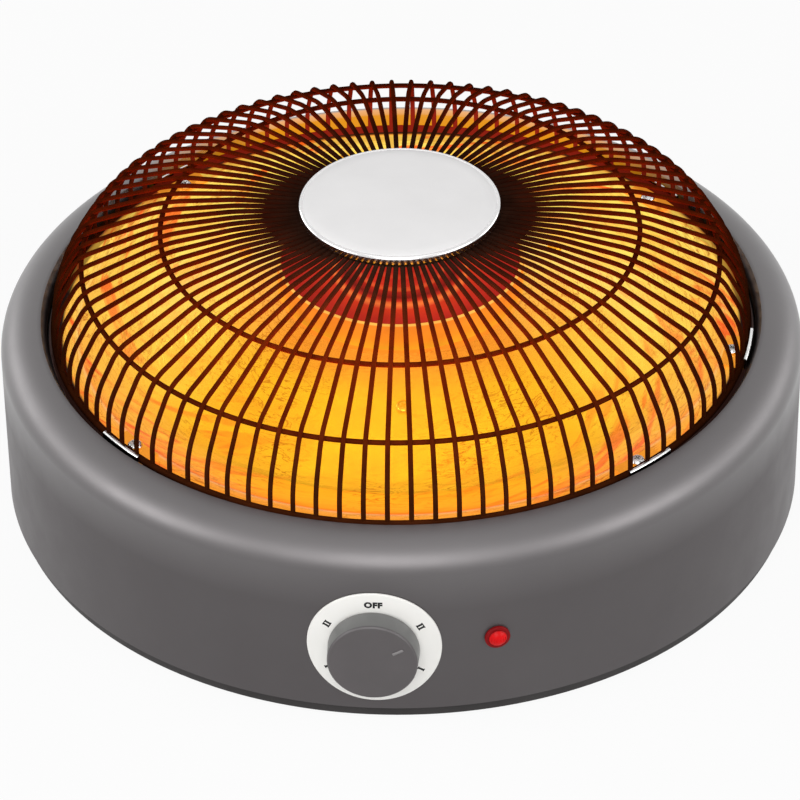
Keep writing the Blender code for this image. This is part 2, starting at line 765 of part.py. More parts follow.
def make_element(name, radius):
    """A tube bent to an open ring, with both ends turned down through the core."""
    gap = math.asin(LEG_SPREAD / radius)
    line = [around(radius, gap, TERMINAL_Z)]
    for k in range(ELEMENT_STEPS + 1):
        turn = gap + (math.tau - 2 * gap) * k / ELEMENT_STEPS
        line.append(around(radius, turn, ELEMENT_Z))
    line.append(around(radius, -gap, TERMINAL_Z))
    tube(name, [line], ELEMENT_TUBE, "element_tube")


def make_core_fixings():
    top = CORE_BOTTOM - SEAT_GAP
    tab_top = COLLAR_Z - DISH_SHEET - SEAT_GAP
    place = (COLLAR_BORE + COLLAR_RADIUS) / 2
    points = [(-place, tab_top), (-place, top), (place, top), (place, tab_top)]
    bridge = bent_strip("core_bridge", points, BRIDGE_WIDTH, BRIDGE_SHEET, "bright_steel")
    drill(bridge, "bridge_hole", STUD_HOLE, top - OVERRUN, top + OVERRUN, None)
    bridge_bottom = top - BRIDGE_SHEET
    nut_top = bridge_bottom - SEAT_GAP
    pan_nut_z = PAN_TOP + SEAT_GAP
    hex_nut("stud_nut", NUT_RADIUS, STUD_HOLE, nut_top - NUT_HEIGHT, nut_top)
    hex_nut("pan_nut", NUT_RADIUS, STUD_HOLE, pan_nut_z, pan_nut_z + NUT_HEIGHT)
    rod(
        "core_stud", STUD_RADIUS, nut_top - NUT_HEIGHT - STUD_OVERHANG,
        pan_nut_z + NUT_HEIGHT + STUD_OVERHANG / 2, "bright_steel",
    )


def hex_nut(name, radius, bore, bottom, top, frame=None, surface="bright_steel"):
    nut = rod(name, radius, bottom, top, surface, NUT_SIDES, frame)
    drill(nut, name + "_bore", bore, bottom - OVERRUN, top + OVERRUN, frame, NUT_STEPS)


def wire_stations():
    """Middle line of a guard wire, as radius and height, from the base ring to the hub."""
    rest = RING_WIRE + WIRE_RADIUS + SEAT_GAP
    lean = math.atan2(LOWER_RING_RADIUS - UPPER_RING_RADIUS, UPPER_RING_STEP) * LEAN_SHARE
    lower = (
        LOWER_RING_RADIUS + rest * math.cos(lean),
        LOWER_RING_Z + rest * math.sin(lean),
    )
    return [
        (BASE_RING_RADIUS - SEAT_GAP, GUARD_Z),
        (BASE_RING_RADIUS - WIRE_FOOT_INSET, GUARD_Z + WIRE_FOOT_RISE),
        lower,
        (UPPER_RING_RADIUS, UPPER_RING_Z + rest),
        (CREST_RADIUS, CREST_Z),
        (WIRE_END_RADIUS, WIRE_END_Z),
    ]


def make_guard():
    stations = wire_stations()
    lines = []
    for k in range(WIRE_COUNT):
        azimuth = WIRE_TURN + math.tau * k / WIRE_COUNT
        lines.append([around(radius, azimuth, height) for radius, height in stations])
    guard = tube("guard", lines, WIRE_RADIUS, "black_wire", 0)
    base_ring = wire_ring(
        "base_ring", BASE_RING_RADIUS, BASE_RING_WIRE, GUARD_Z, collection=cutters
    )
    join_shape(guard, base_ring, "UNION")
    wire_ring("guard_ring_lower", LOWER_RING_RADIUS, RING_WIRE, LOWER_RING_Z, "black_wire")
    wire_ring("guard_ring_upper", UPPER_RING_RADIUS, RING_WIRE, UPPER_RING_Z, "black_wire")


def make_clips():
    lip_inside = BASE_RING_RADIUS + BASE_RING_WIRE + SEAT_GAP
    hook_z = GUARD_Z + BASE_RING_WIRE + SEAT_GAP
    points = [
        (lip_inside - CLIP_REACH, CLIP_FOOT_Z),
        (lip_inside, CLIP_FOOT_Z),
        (lip_inside, hook_z),
        (lip_inside - CLIP_HOOK, hook_z),
    ]
    span = CLIP_LENGTH / BASE_RING_RADIUS
    for k, azimuth in enumerate(CLIP_AZIMUTHS):
        frame = Matrix.Rotation(azimuth - math.pi / 2 - span / 2, 4, "Z")
        clip = turned_sheet(
            f"guard_clip_{k + 1}", points, CLIP_SHEET, "bright_steel", CLIP_STEPS, span, frame
        )
        drill(
            clip, f"clip_hole_{k + 1}", SCREW_HOLE, CLIP_FOOT_Z - OVERRUN, CLIP_FOOT_Z + OVERRUN,
            upright(azimuth, CLIP_SCREW_PLACE),
        )
        turned(
            f"clip_screw_{k + 1}", screw_points(CLIP_SCREW_LENGTH), "bright_steel", SCREW_STEPS,
            upright(azimuth, CLIP_SCREW_PLACE, CLIP_FOOT_Z + SEAT_GAP),
        )


def make_hub_and_disc():
    for name, bottom in (("hub_plate", HUB_PLATE_Z), ("hub_clamp_plate", CLAMP_PLATE_Z)):
        top = bottom + HUB_PLATE_SHEET
        turned(
            name, washer_points(HUB_PLATE_RADIUS, STUD_HOLE, bottom, top), "black_paint",
            CORE_STEPS, closed=True,
        )
    spacer_bottom = HUB_PLATE_Z + HUB_PLATE_SHEET + SEAT_GAP
    spacer_top = DISC_UNDERSIDE - SEAT_GAP
    turned(
        "disc_spacer", washer_points(SPACER_RADIUS, STUD_HOLE, spacer_bottom, spacer_top),
        "bright_steel", SCREW_STEPS, closed=True,
    )
    nut_top = CLAMP_PLATE_Z - SEAT_GAP
    hex_nut("disc_nut", NUT_RADIUS, STUD_HOLE, nut_top - NUT_HEIGHT, nut_top)
    rod(
        "disc_stud", STUD_RADIUS, nut_top - NUT_HEIGHT - STUD_OVERHANG, spacer_top, "bright_steel"
    )
    flat = DISC_RADIUS - DISC_EDGE_ROUND
    points = [
        (0, DISC_EDGE_Z + DISC_CROWN),
        (DISC_RADIUS / 2, DISC_EDGE_Z + DISC_CROWN * DISC_MIDWAY_SHARE),
        (flat, DISC_EDGE_Z),
        (DISC_RADIUS, DISC_EDGE_Z - DISC_EDGE_ROUND),
        (DISC_RADIUS, DISC_EDGE_Z - DISC_EDGE_HEIGHT),
    ]
    turned_sheet("centre_disc", points, SHEET, "silver_plate", SMALL_STEPS)


def make_bezel():
    """A round plate bent to the wall, cut out of a short length of tube."""
    bottom = SWITCH_RISE - BEZEL_RADIUS - OVERRUN
    top = SWITCH_RISE + BEZEL_RADIUS + OVERRUN
    bezel = rod(
        "switch_bezel", BEZEL_RADIUS, -OVERRUN, OVERRUN, "silver_plate", SMALL_STEPS,
        facing_out(0, BEZEL_FACE, SWITCH_RISE),
    )
    band = turned(
        "bezel_band", washer_points(BEZEL_FACE, BEZEL_INSIDE, bottom, top), None,
        ROUND_STEPS * 2, closed=True, collection=cutters,
    )
    join_shape(bezel, band, "INTERSECT")
    drill(
        bezel, "bezel_hole", BUSH_HOLE, -OVERRUN, OVERRUN,
        facing_out(0, BODY_RADIUS, SWITCH_RISE), NUT_STEPS,
    )


def make_knob_and_shaft():
    """Heights here are distances from the knob's back rim along its own axis."""
    frame = facing_out(0, KNOB_BACK, SWITCH_RISE)
    rim = KNOB_RADIUS - KNOB_WALL
    ceiling = KNOB_DEPTH - KNOB_WALL
    bush_end = BEZEL_FACE + BUSH_REACH - KNOB_BACK
    hub_start = bush_end + SEAT_GAP
    socket = SHAFT_RADIUS + SHAFT_FIT
    socket_end = ceiling - SHAFT_FIT
    points = [
        (0, KNOB_DEPTH),
        (KNOB_FACE_RADIUS - KNOB_EDGE, KNOB_DEPTH),
        (KNOB_FACE_RADIUS, KNOB_DEPTH - KNOB_EDGE),
        (KNOB_RADIUS, 0),
        (rim, 0),
        (rim, ceiling),
        (KNOB_HUB_RADIUS, ceiling),
        (KNOB_HUB_RADIUS, hub_start),
        (socket, hub_start),
        (socket, socket_end),
        (0, socket_end),
    ]
    knob = turned("control_knob", points, "grey_plastic", SMALL_STEPS, frame)
    pointer = box(
        "pointer",
        (POINTER_WIDTH, POINTER_LENGTH, POINTER_HEIGHT * 2),
        (0, POINTER_PLACE, KNOB_DEPTH),
        frame=frame @ Matrix.Rotation(-POINTER_ANGLE, 4, "Z"),
        collection=cutters,
    )
    join_shape(knob, pointer, "UNION")
    inner_end = SWITCH_FRONT - SHAFT_START - KNOB_BACK
    rod("switch_shaft", SHAFT_RADIUS, inner_end, socket_end - SHAFT_FIT, "bright_steel", frame=frame)


def make_switch_body():
    """Heights here are distances from the middle of the part along the switch's axis."""
    frame = facing_out(0, 0, SWITCH_RISE)
    body = box(
        "switch_body",
        (SWITCH_WIDTH, SWITCH_WIDTH, SWITCH_DEPTH),
        (0, 0, SWITCH_FRONT - SWITCH_DEPTH / 2),
        "black_plastic",
        frame,
    )
    bush = rod(
        "switch_bush", BUSH_RADIUS, SWITCH_FRONT - OVERRUN, BEZEL_FACE + BUSH_REACH,
        frame=frame, collection=cutters,
    )
    join_shape(body, bush, "UNION")
    bore_end = SWITCH_FRONT - SHAFT_START - SHAFT_FIT
    drill(body, "shaft_bore", SHAFT_RADIUS + SHAFT_FIT, bore_end, KNOB_FACE, frame, SCREW_STEPS)
    nut_bottom = BEZEL_FACE + SEAT_GAP
    hex_nut(
        "switch_nut", SWITCH_NUT_RADIUS, BUSH_RADIUS + SEAT_GAP, nut_bottom,
        nut_bottom + SWITCH_NUT_HEIGHT, frame,
    )


def make_indicator():
    """Heights here are distances from the wall's outer face."""
    frame = facing_out(LAMP_AZIMUTH, BODY_RADIUS, LAMP_RISE)
    flange_bottom = SEAT_GAP
    flange_top = flange_bottom + LAMP_FLANGE_HEIGHT
    across, up = LENS_DOME_SHARES
    lens_points = [
        (0, flange_top + LENS_HEIGHT),
        (LENS_RADIUS * across, flange_top + LENS_HEIGHT * up),
        (LENS_RADIUS, flange_top),
        (LAMP_FLANGE_RADIUS, flange_top),
        (LAMP_FLANGE_RADIUS, flange_bottom),
        (0, flange_bottom),
    ]
    turned("indicator_lens", lens_points, "red_lens", SCREW_STEPS, frame)
    collar_top = inner_wall_seat(LAMP_COLLAR_RADIUS) - BODY_RADIUS
    collar_bottom = collar_top - LAMP_COLLAR_HEIGHT
    holder_points = [
        (0, 0),
        (LAMP_BARREL_RADIUS, 0),
        (LAMP_BARREL_RADIUS, collar_top),
        (LAMP_COLLAR_RADIUS, collar_top),
        (LAMP_COLLAR_RADIUS, collar_bottom),
        (LAMP_BARREL_RADIUS, collar_bottom),
        (LAMP_BARREL_RADIUS, -LAMP_BARREL_LENGTH),
        (0, -LAMP_BARREL_LENGTH),
    ]
    turned("indicator_holder", holder_points, "black_plastic", SCREW_STEPS, frame)


def make_gland():
    """Heights here are distances from the wall's outer face."""
    frame = facing_out(math.pi, BODY_RADIUS, GLAND_RISE)
    flange_top = SEAT_GAP + GLAND_FLANGE_HEIGHT
    points = [
        (GLAND_BORE, GLAND_LENGTH),
        (GLAND_NOSE_RADIUS, GLAND_LENGTH),
        (GLAND_NECK, flange_top),
        (GLAND_FLANGE_RADIUS, flange_top),
        (GLAND_FLANGE_RADIUS, SEAT_GAP),
        (GLAND_NECK, SEAT_GAP),
        (GLAND_NECK, -GLAND_TAIL),
        (GLAND_BORE, -GLAND_TAIL),
    ]
    turned("cord_gland", points, "black_plastic", NUT_STEPS, frame, closed=True)
    nut_top = inner_wall_seat(GLAND_NUT_RADIUS) - BODY_RADIUS
    hex_nut(
        "gland_nut", GLAND_NUT_RADIUS, GLAND_NECK + GLAND_FIT, nut_top - GLAND_NUT_HEIGHT, nut_top,
        frame, "black_plastic",
    )


def block_frame(height):
    """Over the middle of the terminal block, which lies along the back wall."""
    bottom = PLATE_TOP + SEAT_GAP
    return upright(BLOCK_AZIMUTH, BODY_RADIUS - BLOCK_INSET, bottom + height)


def make_terminal_block():
    width, depth, height = BLOCK_SIZE
    block = box(
        "terminal_block", BLOCK_SIZE, (0, 0, 0), "white_plastic", block_frame(height / 2)
    )
    pitch = width / BLOCK_FUNNELS
    for k in range(BLOCK_FUNNELS):
        x = pitch * (k - (BLOCK_FUNNELS - 1) / 2)
        frame = block_frame(height) @ Matrix.Translation((x, 0, 0))
        drill(block, f"funnel_{k + 1}", FUNNEL_RADIUS, -height / 2, OVERRUN, frame)


def cutout_azimuth():
    return dish_screw_azimuths()[1]


def make_thermal_cutout():
    """A round cut-out on the inner face of a leg, looking at the hot middle."""
    outer = LEG_WEB - LEG_SHEET - SEAT_GAP
    frame = facing_out(cutout_azimuth(), outer, CUTOUT_RISE)
    points = [
        (0, 0),
        (CUTOUT_RADIUS, 0),
        (CUTOUT_RADIUS, -CUTOUT_CAP),
        (CUTOUT_RADIUS * CUTOUT_TIP_SHARE, -CUTOUT_HEIGHT),
        (0, -CUTOUT_HEIGHT),
    ]
    turned("thermal_cutout", points, "black_plastic", SCREW_STEPS, frame)


def make_leads():
    """Insulated leads, each from one terminal face to the next."""
    top = TERMINAL_Z - SEAT_GAP
    switch_face = SWITCH_BACK - SEAT_GAP
    low_z = SWITCH_RISE + SWITCH_WIDTH / 4
    high_z = SWITCH_RISE - SWITCH_WIDTH / 4
    outer_turn = math.asin(LEG_SPREAD / OUTER_ELEMENT_RADIUS)
    inner_turn = math.asin(LEG_SPREAD / INNER_ELEMENT_RADIUS)
    outer_left = around(OUTER_ELEMENT_RADIUS, -outer_turn, top)
    outer_right = around(OUTER_ELEMENT_RADIUS, outer_turn, top)
    inner_left = around(INNER_ELEMENT_RADIUS, -inner_turn, top)
    drop = LEAD_SLACK
    side = SWITCH_WIDTH / 4
    low = [
        outer_left,
        outer_left - Vector((0, 0, drop)),
        around(OUTER_ELEMENT_RADIUS + drop * 2, -outer_turn, top - drop * 3),
        Vector((-side * 2, -switch_face * LOW_LEAD_SHARE, low_z + drop)),
        Vector((-side, -switch_face + drop, low_z)),
        Vector((-side, -switch_face, low_z)),
    ]
    high = [
        inner_left,
        inner_left - Vector((0, 0, drop)),
        Vector((-side * 3, -OUTER_ELEMENT_RADIUS, high_z + drop)),
        Vector((-side * 4, -switch_face * HIGH_LEAD_SHARE, high_z)),
        Vector((-side, -switch_face + drop, high_z)),
        Vector((-side, -switch_face, high_z)),
    ]
    cutout_face = LEG_WEB - LEG_SHEET - SEAT_GAP * 2 - CUTOUT_HEIGHT
    azimuth = cutout_azimuth()
    back = [
        outer_right,
        outer_right - Vector((0, 0, drop)),
        Vector((LEG_SPREAD * 3, -OUTER_ELEMENT_RADIUS / 2, CUTOUT_RISE + drop)),
        around(cutout_face - drop * 2, azimuth, CUTOUT_RISE),
        around(cutout_face, azimuth, CUTOUT_RISE),
    ]
    block = block_frame(BLOCK_SIZE[2] / 2)
    block_end = BLOCK_SIZE[0] / 2 + SEAT_GAP
    block_z = block.translation.z
    back_share, front_share = FEED_LEAD_SHARES
    feed = [
        block @ Vector((block_end, 0, 0)),
        block @ Vector((block_end + drop, 0, 0)),
        Vector((-drop * 3, block.translation.y * back_share, block_z)),
        Vector((-OUTER_ELEMENT_RADIUS, 0, block_z)),
        Vector((-side * 4, -switch_face * front_share, block_z + drop / 2)),
        Vector((side, -switch_face + drop, high_z)),
        Vector((side, -switch_face, high_z)),
    ]
    routes = (("lead_low", low), ("lead_high", high), ("lead_return", back), ("lead_feed", feed))
    for name, route in routes:
        tube(name, [smooth_curve(route, LEAD_STEPS)], LEAD_RADIUS, "red_lead", 0)


def main():
    clear_scene()
    make_surfaces()
    make_body_shell()
    make_base_plate()
    make_feet_and_base_screws()
    make_reflector_dish()
    make_dish_legs()
    make_radiant_pan()
    make_ceramic_core()
    make_element("element_outer", OUTER_ELEMENT_RADIUS)
    make_element("element_inner", INNER_ELEMENT_RADIUS)
    make_core_fixings()
    make_guard()
    make_clips()
    make_hub_and_disc()
    make_bezel()
    make_knob_and_shaft()
    make_switch_body()
    make_indicator()
    make_gland()
    make_terminal_block()
    make_thermal_cutout()
    make_leads()


main()
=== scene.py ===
import math

import bmesh
import bpy
from mathutils import Matrix, Vector


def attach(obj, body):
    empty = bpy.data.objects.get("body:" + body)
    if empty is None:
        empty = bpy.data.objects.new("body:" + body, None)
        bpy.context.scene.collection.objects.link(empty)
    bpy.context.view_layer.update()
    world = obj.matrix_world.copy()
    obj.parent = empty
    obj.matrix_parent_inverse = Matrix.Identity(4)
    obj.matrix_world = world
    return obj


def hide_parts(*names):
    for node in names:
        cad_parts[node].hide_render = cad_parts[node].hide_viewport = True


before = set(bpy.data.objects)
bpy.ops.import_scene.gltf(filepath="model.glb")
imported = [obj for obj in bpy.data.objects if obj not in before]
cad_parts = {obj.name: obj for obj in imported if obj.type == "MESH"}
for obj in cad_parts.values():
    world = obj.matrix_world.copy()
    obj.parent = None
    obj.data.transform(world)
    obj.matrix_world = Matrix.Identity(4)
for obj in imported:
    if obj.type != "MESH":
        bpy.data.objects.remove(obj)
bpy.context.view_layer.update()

# Sizes of the solids, repeated here in metres. A pair for a ring, a wire or a tier is its
# radius and its height.
BODY_RADIUS = 0.195
SHEET = 0.0012
SEAT_GAP = 0.0003
BODY_BOTTOM = 0.0075
SWITCH_HOLE = 0.005
LAMP_HOLE = 0.0047
GLAND_HOLE = 0.0082
TAB_SIZE = (0.014, 0.0135, SHEET)
TAB_HOLE = 0.0023
WALL_TOP = 0.084
SHOULDER_EDGE = 0.175
SHOULDER_TOP = 0.099
LIP_RADIUS = 0.1723
LIP_TOP = 0.0947
LEDGE_Z = 0.0902
LEDGE_RADIUS = 0.1588
GUARD_Z = 0.0947
BASE_RING_RADIUS = 0.1686
BASE_RING_WIRE = 0.0018
RING_WIRE = 0.00125
LOWER_RING = (0.1538, 0.1298)
UPPER_RING = (0.1152, 0.1458)
WIRE_RADIUS = 0.0012
WIRE_COUNT = 96
WIRE_TURN = math.radians(1.69)
WIRE_FOOT_RADIUS = 0.1683
WIRE_BEND = (0.1554, 0.132)
WIRE_CREST_Z = 0.14855
WIRE_END = (0.0425, 0.15457)
CLIP_AZIMUTHS = tuple(math.radians(turn) for turn in (-46.4, 46.5, 83, 133.5, -133.5))
CLIP_FOOT_Z = 0.0926
CLIP_SCREW_LENGTH = 0.009
CLIP_SCREW_PLACE = 0.1622
CLIP_SHEET = 0.0009
CLIP_LENGTH = 0.026
DISH_SHEET = 0.0009
COLLAR_BORE = 0.05
COLLAR_RADIUS = 0.061
COLLAR_Z = 0.1147
CONE_FOOT_RADIUS = 0.106
CONE_DROP = 0.021
VALLEY_Z = 0.0845
VALLEY_RADIUS = 0.132
VALLEY_REACH = 0.0085
FLANGE_Z = 0.0914
DISH_WALL_TOP = 0.1572
FLANGE_RADIUS = 0.1713
DISH_SCREW_LENGTH = 0.008
DISH_SCREW_PLACE = 0.088
DISH_SCREW_HEIGHT = 0.1021
DISH_SCREW_AZIMUTH = math.radians(4.55)
FLANK_SLOPE = math.radians(25)
PAN_RADIUS = 0.0595
PAN_SKIRT_Z = 0.115
PAN_RIM_Z = 0.1291
PAN_FLOOR_Z = 0.1199
PAN_TIERS = ((0.012, 0.1257), (0.02, 0.1241), (0.031, 0.1225))
PAN_STEP = 0.0012
PAN_TROUGH_RADII = (0.0335, 0.054)
HUB_RADIUS = 0.0445
HUB_PLATE_Z = 0.1561
CLAMP_PLATE_Z = 0.1518
STUD_HOLE = 0.0034
NUT_RADIUS = 0.0058
NUT_HEIGHT = 0.0045
DISC_RADIUS = 0.0485
DISC_EDGE_Z = 0.16
DISC_EDGE_HEIGHT = 0.0038
DISC_CROWN = 0.0016
SWITCH_RISE = 0.0443
BEZEL_RADIUS = 0.0311
BEZEL_INSIDE = 0.1953
BEZEL_FACE = 0.1963
MARK_PLACE = 0.0248
KNOB_BACK = 0.197
KNOB_DEPTH = 0.0105
KNOB_RADIUS = 0.0213
POINTER_ANGLE = math.radians(60)
POINTER_PLACE = 0.0136
POINTER_SIZE = (0.0014, 0.0056, 0.0008)
LAMP_AZIMUTH = math.radians(16.7)
LAMP_RISE = 0.0461
LENS_RADIUS = 0.006
LENS_DOME_RADIUS = 0.0043
LENS_DOME_RISE = 0.0026
GLAND_RISE = 0.029
GLAND_BORE = 0.0037
GLAND_NECK = 0.0078
GLAND_FLANGE = 0.011
GLAND_ENDS = (-0.0105, 0.0135)
PLATE_Z = 0.003
RIM_Z = 0.0012
RIM_TOP = 0.014
RIM_RADIUS = 0.193
RIM_WIDTH = 0.005
FOOT_HOLE = 0.0035
FOOT_PLACE = 0.162
FOOT_AZIMUTH = math.radians(45)
BASE_SCREW_LENGTH = 0.0165
BASE_SCREW_PLACE = 0.1835
BASE_SCREW_AZIMUTH = math.radians(30)
SLOT_PLACE = 0.128
SLOT_COUNT = 9
SLOT_LENGTH = 0.03
SLOT_WIDTH = 0.005

# How finely the pieces are divided
ROUND_STEPS = 192
MIDDLE_STEPS = 96
SMALL_STEPS = 40
CORNER_STEPS = 5
WELD = 0.000002
SHARP = math.radians(32)

BLACK = (0.0, 0.0, 0.0)

finishes = {}


# Places

def around(radius, azimuth, height=0.0):
    return Vector((radius * math.sin(azimuth), -radius * math.cos(azimuth), height))


def upright(azimuth, radius=0.0, height=0.0):
    """Local +Z stays up and local -Y points away from the middle."""
    return Matrix.Translation(around(radius, azimuth, height)) @ Matrix.Rotation(azimuth, 4, "Z")


def facing_out(azimuth, radius, height):
    """Local +Z points away from the middle, level, and local +Y points up."""
    return upright(azimuth, radius, height) @ Matrix.Rotation(math.pi / 2, 4, "X")


def quarter_azimuths(first):
    return [first + math.tau * k / 4 for k in range(4)]


def dish_screw_frame(azimuth):
    """Square to the dish's cone where a screw sits on it."""
    seat = upright(azimuth, DISH_SCREW_PLACE, DISH_SCREW_HEIGHT)
    lift = Matrix.Translation((0, 0, SEAT_GAP))
    return seat @ Matrix.Rotation(FLANK_SLOPE, 4, "X") @ lift


# Finishes

def start_finish(name, colour, roughness, metallic=0.0, **more):
    """A new material with its even values on the shader's own sockets."""
    material = bpy.data.materials.new(name)
    material.use_nodes = True
    shader = material.node_tree.nodes["Principled BSDF"]
    shader.inputs["Base Color"].default_value = (*colour, 1)
    shader.inputs["Roughness"].default_value = roughness
    shader.inputs["Metallic"].default_value = metallic
    for socket, value in more.items():
        shader.inputs[socket.replace("_", " ")].default_value = value
    finishes[name] = material
    return material


def add_node(material, kind, **settings):
    node = material.node_tree.nodes.new(kind)
    for setting, value in settings.items():
        setattr(node, setting, value)
    return node


def wire_up(material, source, target):
    material.node_tree.links.new(source, target)


def shader_socket(material, name):
    return material.node_tree.nodes["Principled BSDF"].inputs[name]


def surface_place(material):
    return add_node(material, "ShaderNodeTexCoord").outputs["Object"]


def feed(material, name, source):
    """Wires a value or colour to one of the shader's sockets."""
    wire_up(material, source, shader_socket(material, name))


def noise(material, scale, detail, place=None, distortion=0.0):
    texture = add_node(material, "ShaderNodeTexNoise")
    texture.inputs["Scale"].default_value = scale
    texture.inputs["Detail"].default_value = detail
    texture.inputs["Distortion"].default_value = distortion
    wire_up(material, place or surface_place(material), texture.inputs["Vector"])
    return texture.outputs[0]


def spread(material, value, low, high, from_low=0.3, from_high=0.7):
    """Maps a pattern's usual span to a new one."""
    node = add_node(material, "ShaderNodeMapRange")
    node.inputs["From Min"].default_value = from_low
    node.inputs["From Max"].default_value = from_high
    node.inputs["To Min"].default_value = low
    node.inputs["To Max"].default_value = high
    wire_up(material, value, node.inputs["Value"])
    return node.outputs["Result"]


def mask(material, value, start, end):
    """Zero up to the start, and one from the end on."""
    return spread(material, value, 0, 1, start, end)


def ramp(material, value, stops):
    """Colours along a value, as pairs of place and colour."""
    node = add_node(material, "ShaderNodeValToRGB")
    elements = node.color_ramp.elements
    while len(elements) < len(stops):
        elements.new(1)
    for element, (place, colour) in zip(elements, stops):
        element.position = place
        element.color = (*colour, 1)
    wire_up(material, value, node.inputs["Fac"])
    return node.outputs["Color"]


def scaled(material, colour, share):
    """A colour made darker or brighter by a share."""
    node = add_node(material, "ShaderNodeVectorMath", operation="SCALE")
    wire_up(material, colour, node.inputs[0])
    if isinstance(share, bpy.types.NodeSocket):
        wire_up(material, share, node.inputs["Scale"])
    else:
        node.inputs["Scale"].default_value = share
    return node.outputs["Vector"]


def joined(material, first, second):
    """Two values as the X and Y of one place."""
    node = add_node(material, "ShaderNodeCombineXYZ")
    wire_up(material, first, node.inputs["X"])
    wire_up(material, second, node.inputs["Y"])
    return node.outputs[0]


def blend_colours(material, factor, first, second):
    node = add_node(material, "ShaderNodeMix", data_type="RGBA")
    for socket, value in ((0, factor), (6, first), (7, second)):
        if isinstance(value, bpy.types.NodeSocket):
            wire_up(material, value, node.inputs[socket])
        else:
            node.inputs[socket].default_value = (*value, 1)
    return node.outputs[2]


def calculate(material, operation, first, second=0.0):
    node = add_node(material, "ShaderNodeMath", operation=operation)
    for socket, value in zip(node.inputs, (first, second)):
        if isinstance(value, bpy.types.NodeSocket):
            wire_up(material, value, socket)
        else:
            socket.default_value = value
    return node.outputs[0]


def times(material, first, *others):
    for other in others:
        first = calculate(material, "MULTIPLY", first, other)
    return first


def parts_of(material, place):
    """The X, Y and Z of a place or direction."""
    split = add_node(material, "ShaderNodeSeparateXYZ")
    wire_up(material, place, split.inputs[0])
    return split.outputs


def distance_out(material):
    """Distance from the body's upright axis, in metres."""
    parts = parts_of(material, surface_place(material))
    length = add_node(material, "ShaderNodeVectorMath", operation="LENGTH")
    wire_up(material, joined(material, parts["X"], parts["Y"]), length.inputs[0])
    return length.outputs["Value"]


def height_up(material):
    return parts_of(material, surface_place(material))["Z"]


def azimuth_round(material):
    """The turn about the body's axis, from -pi to pi, with zero at the front."""
    parts = parts_of(material, surface_place(material))
    return calculate(material, "ARCTAN2", parts["X"], times(material, parts["Y"], -1.0))


def azimuth_size(material):
    """The turn away from the front, to either side, from zero to pi."""
    return calculate(material, "ABSOLUTE", azimuth_round(material))


def add_bump(material, height, depth):
    """Bumps of a real depth in metres, on top of any that are there."""
    bump = add_node(material, "ShaderNodeBump")
    bump.inputs["Strength"].default_value = 1.0
    bump.inputs["Distance"].default_value = depth
    wire_up(material, height, bump.inputs["Height"])
    normal = shader_socket(material, "Normal")
    if normal.links:
        wire_up(material, normal.links[0].from_socket, bump.inputs["Normal"])
    wire_up(material, bump.outputs[0], normal)


def set_grain(material, gloss, *bumps):
    """Roughness that drifts over a span, then bumps, each on noise of a scale and detail."""
    scale, detail, low, high = gloss
    feed(material, "Roughness", spread(material, noise(material, scale, detail), low, high))
    for scale, detail, depth in bumps:
        add_bump(material, noise(material, scale, detail), depth)


def drifting(material, patches, first, second):
    """Colour that drifts between two shades, on noise of a scale and detail."""
    return ramp(material, noise(material, *patches), ((0.3, first), (0.7, second)))


def plain_finish(name, first, second, patches, gloss, *bumps, metallic=0.0, **more):
    """A material in two shades, with the roughness and bumps that set_grain gives it."""
    middle = tuple((one + other) / 2 for one, other in zip(first, second))
    material = start_finish(name, middle, (gloss[2] + gloss[3]) / 2, metallic, **more)
    feed(material, "Base Color", drifting(material, patches, first, second))
    set_grain(material, gloss, *bumps)


def make_plain_finishes():
    plain_finish(
        "black_enamel", (0.016, 0.014, 0.014), (0.027, 0.024, 0.024), (30, 4),
        (90, 4, 0.44, 0.58), (700, 3, 0.00002), Specular_IOR_Level=0.3,
    )
    plain_finish(
        "dark_plastic", (0.018, 0.017, 0.017), (0.03, 0.028, 0.028), (60, 3),
        (240, 3, 0.44, 0.58), (2600, 2, 0.000015),
    )
    plain_finish(
        "pale_plastic", (0.64, 0.62, 0.56), (0.71, 0.69, 0.63), (50, 3),
        (300, 3, 0.45, 0.55), (2200, 2, 0.000012),
    )
    plain_finish(
        "foot_rubber", (0.014, 0.014, 0.014), (0.026, 0.025, 0.024), (80, 3),
        (260, 4, 0.74, 0.9), (1400, 3, 0.00004),
    )
    plain_finish(
        "lead_sleeve", (0.4, 0.034, 0.02), (0.5, 0.05, 0.03), (50, 3),
        (400, 3, 0.45, 0.6), (1800, 2, 0.00003),
    )
    plain_finish(
        "mark_ink", (0.006, 0.006, 0.007), (0.013, 0.013, 0.014), (300, 3),
        (900, 2, 0.45, 0.6), Specular_IOR_Level=0.2,
    )
    plain_finish(
        "bright_screw_steel", (0.6, 0.6, 0.59), (0.76, 0.76, 0.75), (120, 3),
        (500, 4, 0.16, 0.3), (1500, 3, 0.00001), metallic=1.0,
    )
    plain_finish(
        "dial_silver", (0.78, 0.77, 0.74), (0.81, 0.8, 0.77), (45, 3),
        (240, 4, 0.38, 0.46), (2400, 3, 0.000006), metallic=0.1,
    )
    plain_finish(
        "fired_ceramic", (0.62, 0.54, 0.44), (0.78, 0.73, 0.65), (60, 5),
        (180, 4, 0.66, 0.85), (900, 4, 0.00008),
    )
    plain_finish(
        "element_sheath", (0.4, 0.12, 0.03), (0.6, 0.22, 0.06), (90, 4),
        (400, 4, 0.42, 0.6), (1400, 3, 0.00003), metallic=0.3,
        Emission_Color=(1.0, 0.16, 0.02, 1), Emission_Strength=1.4,
    )


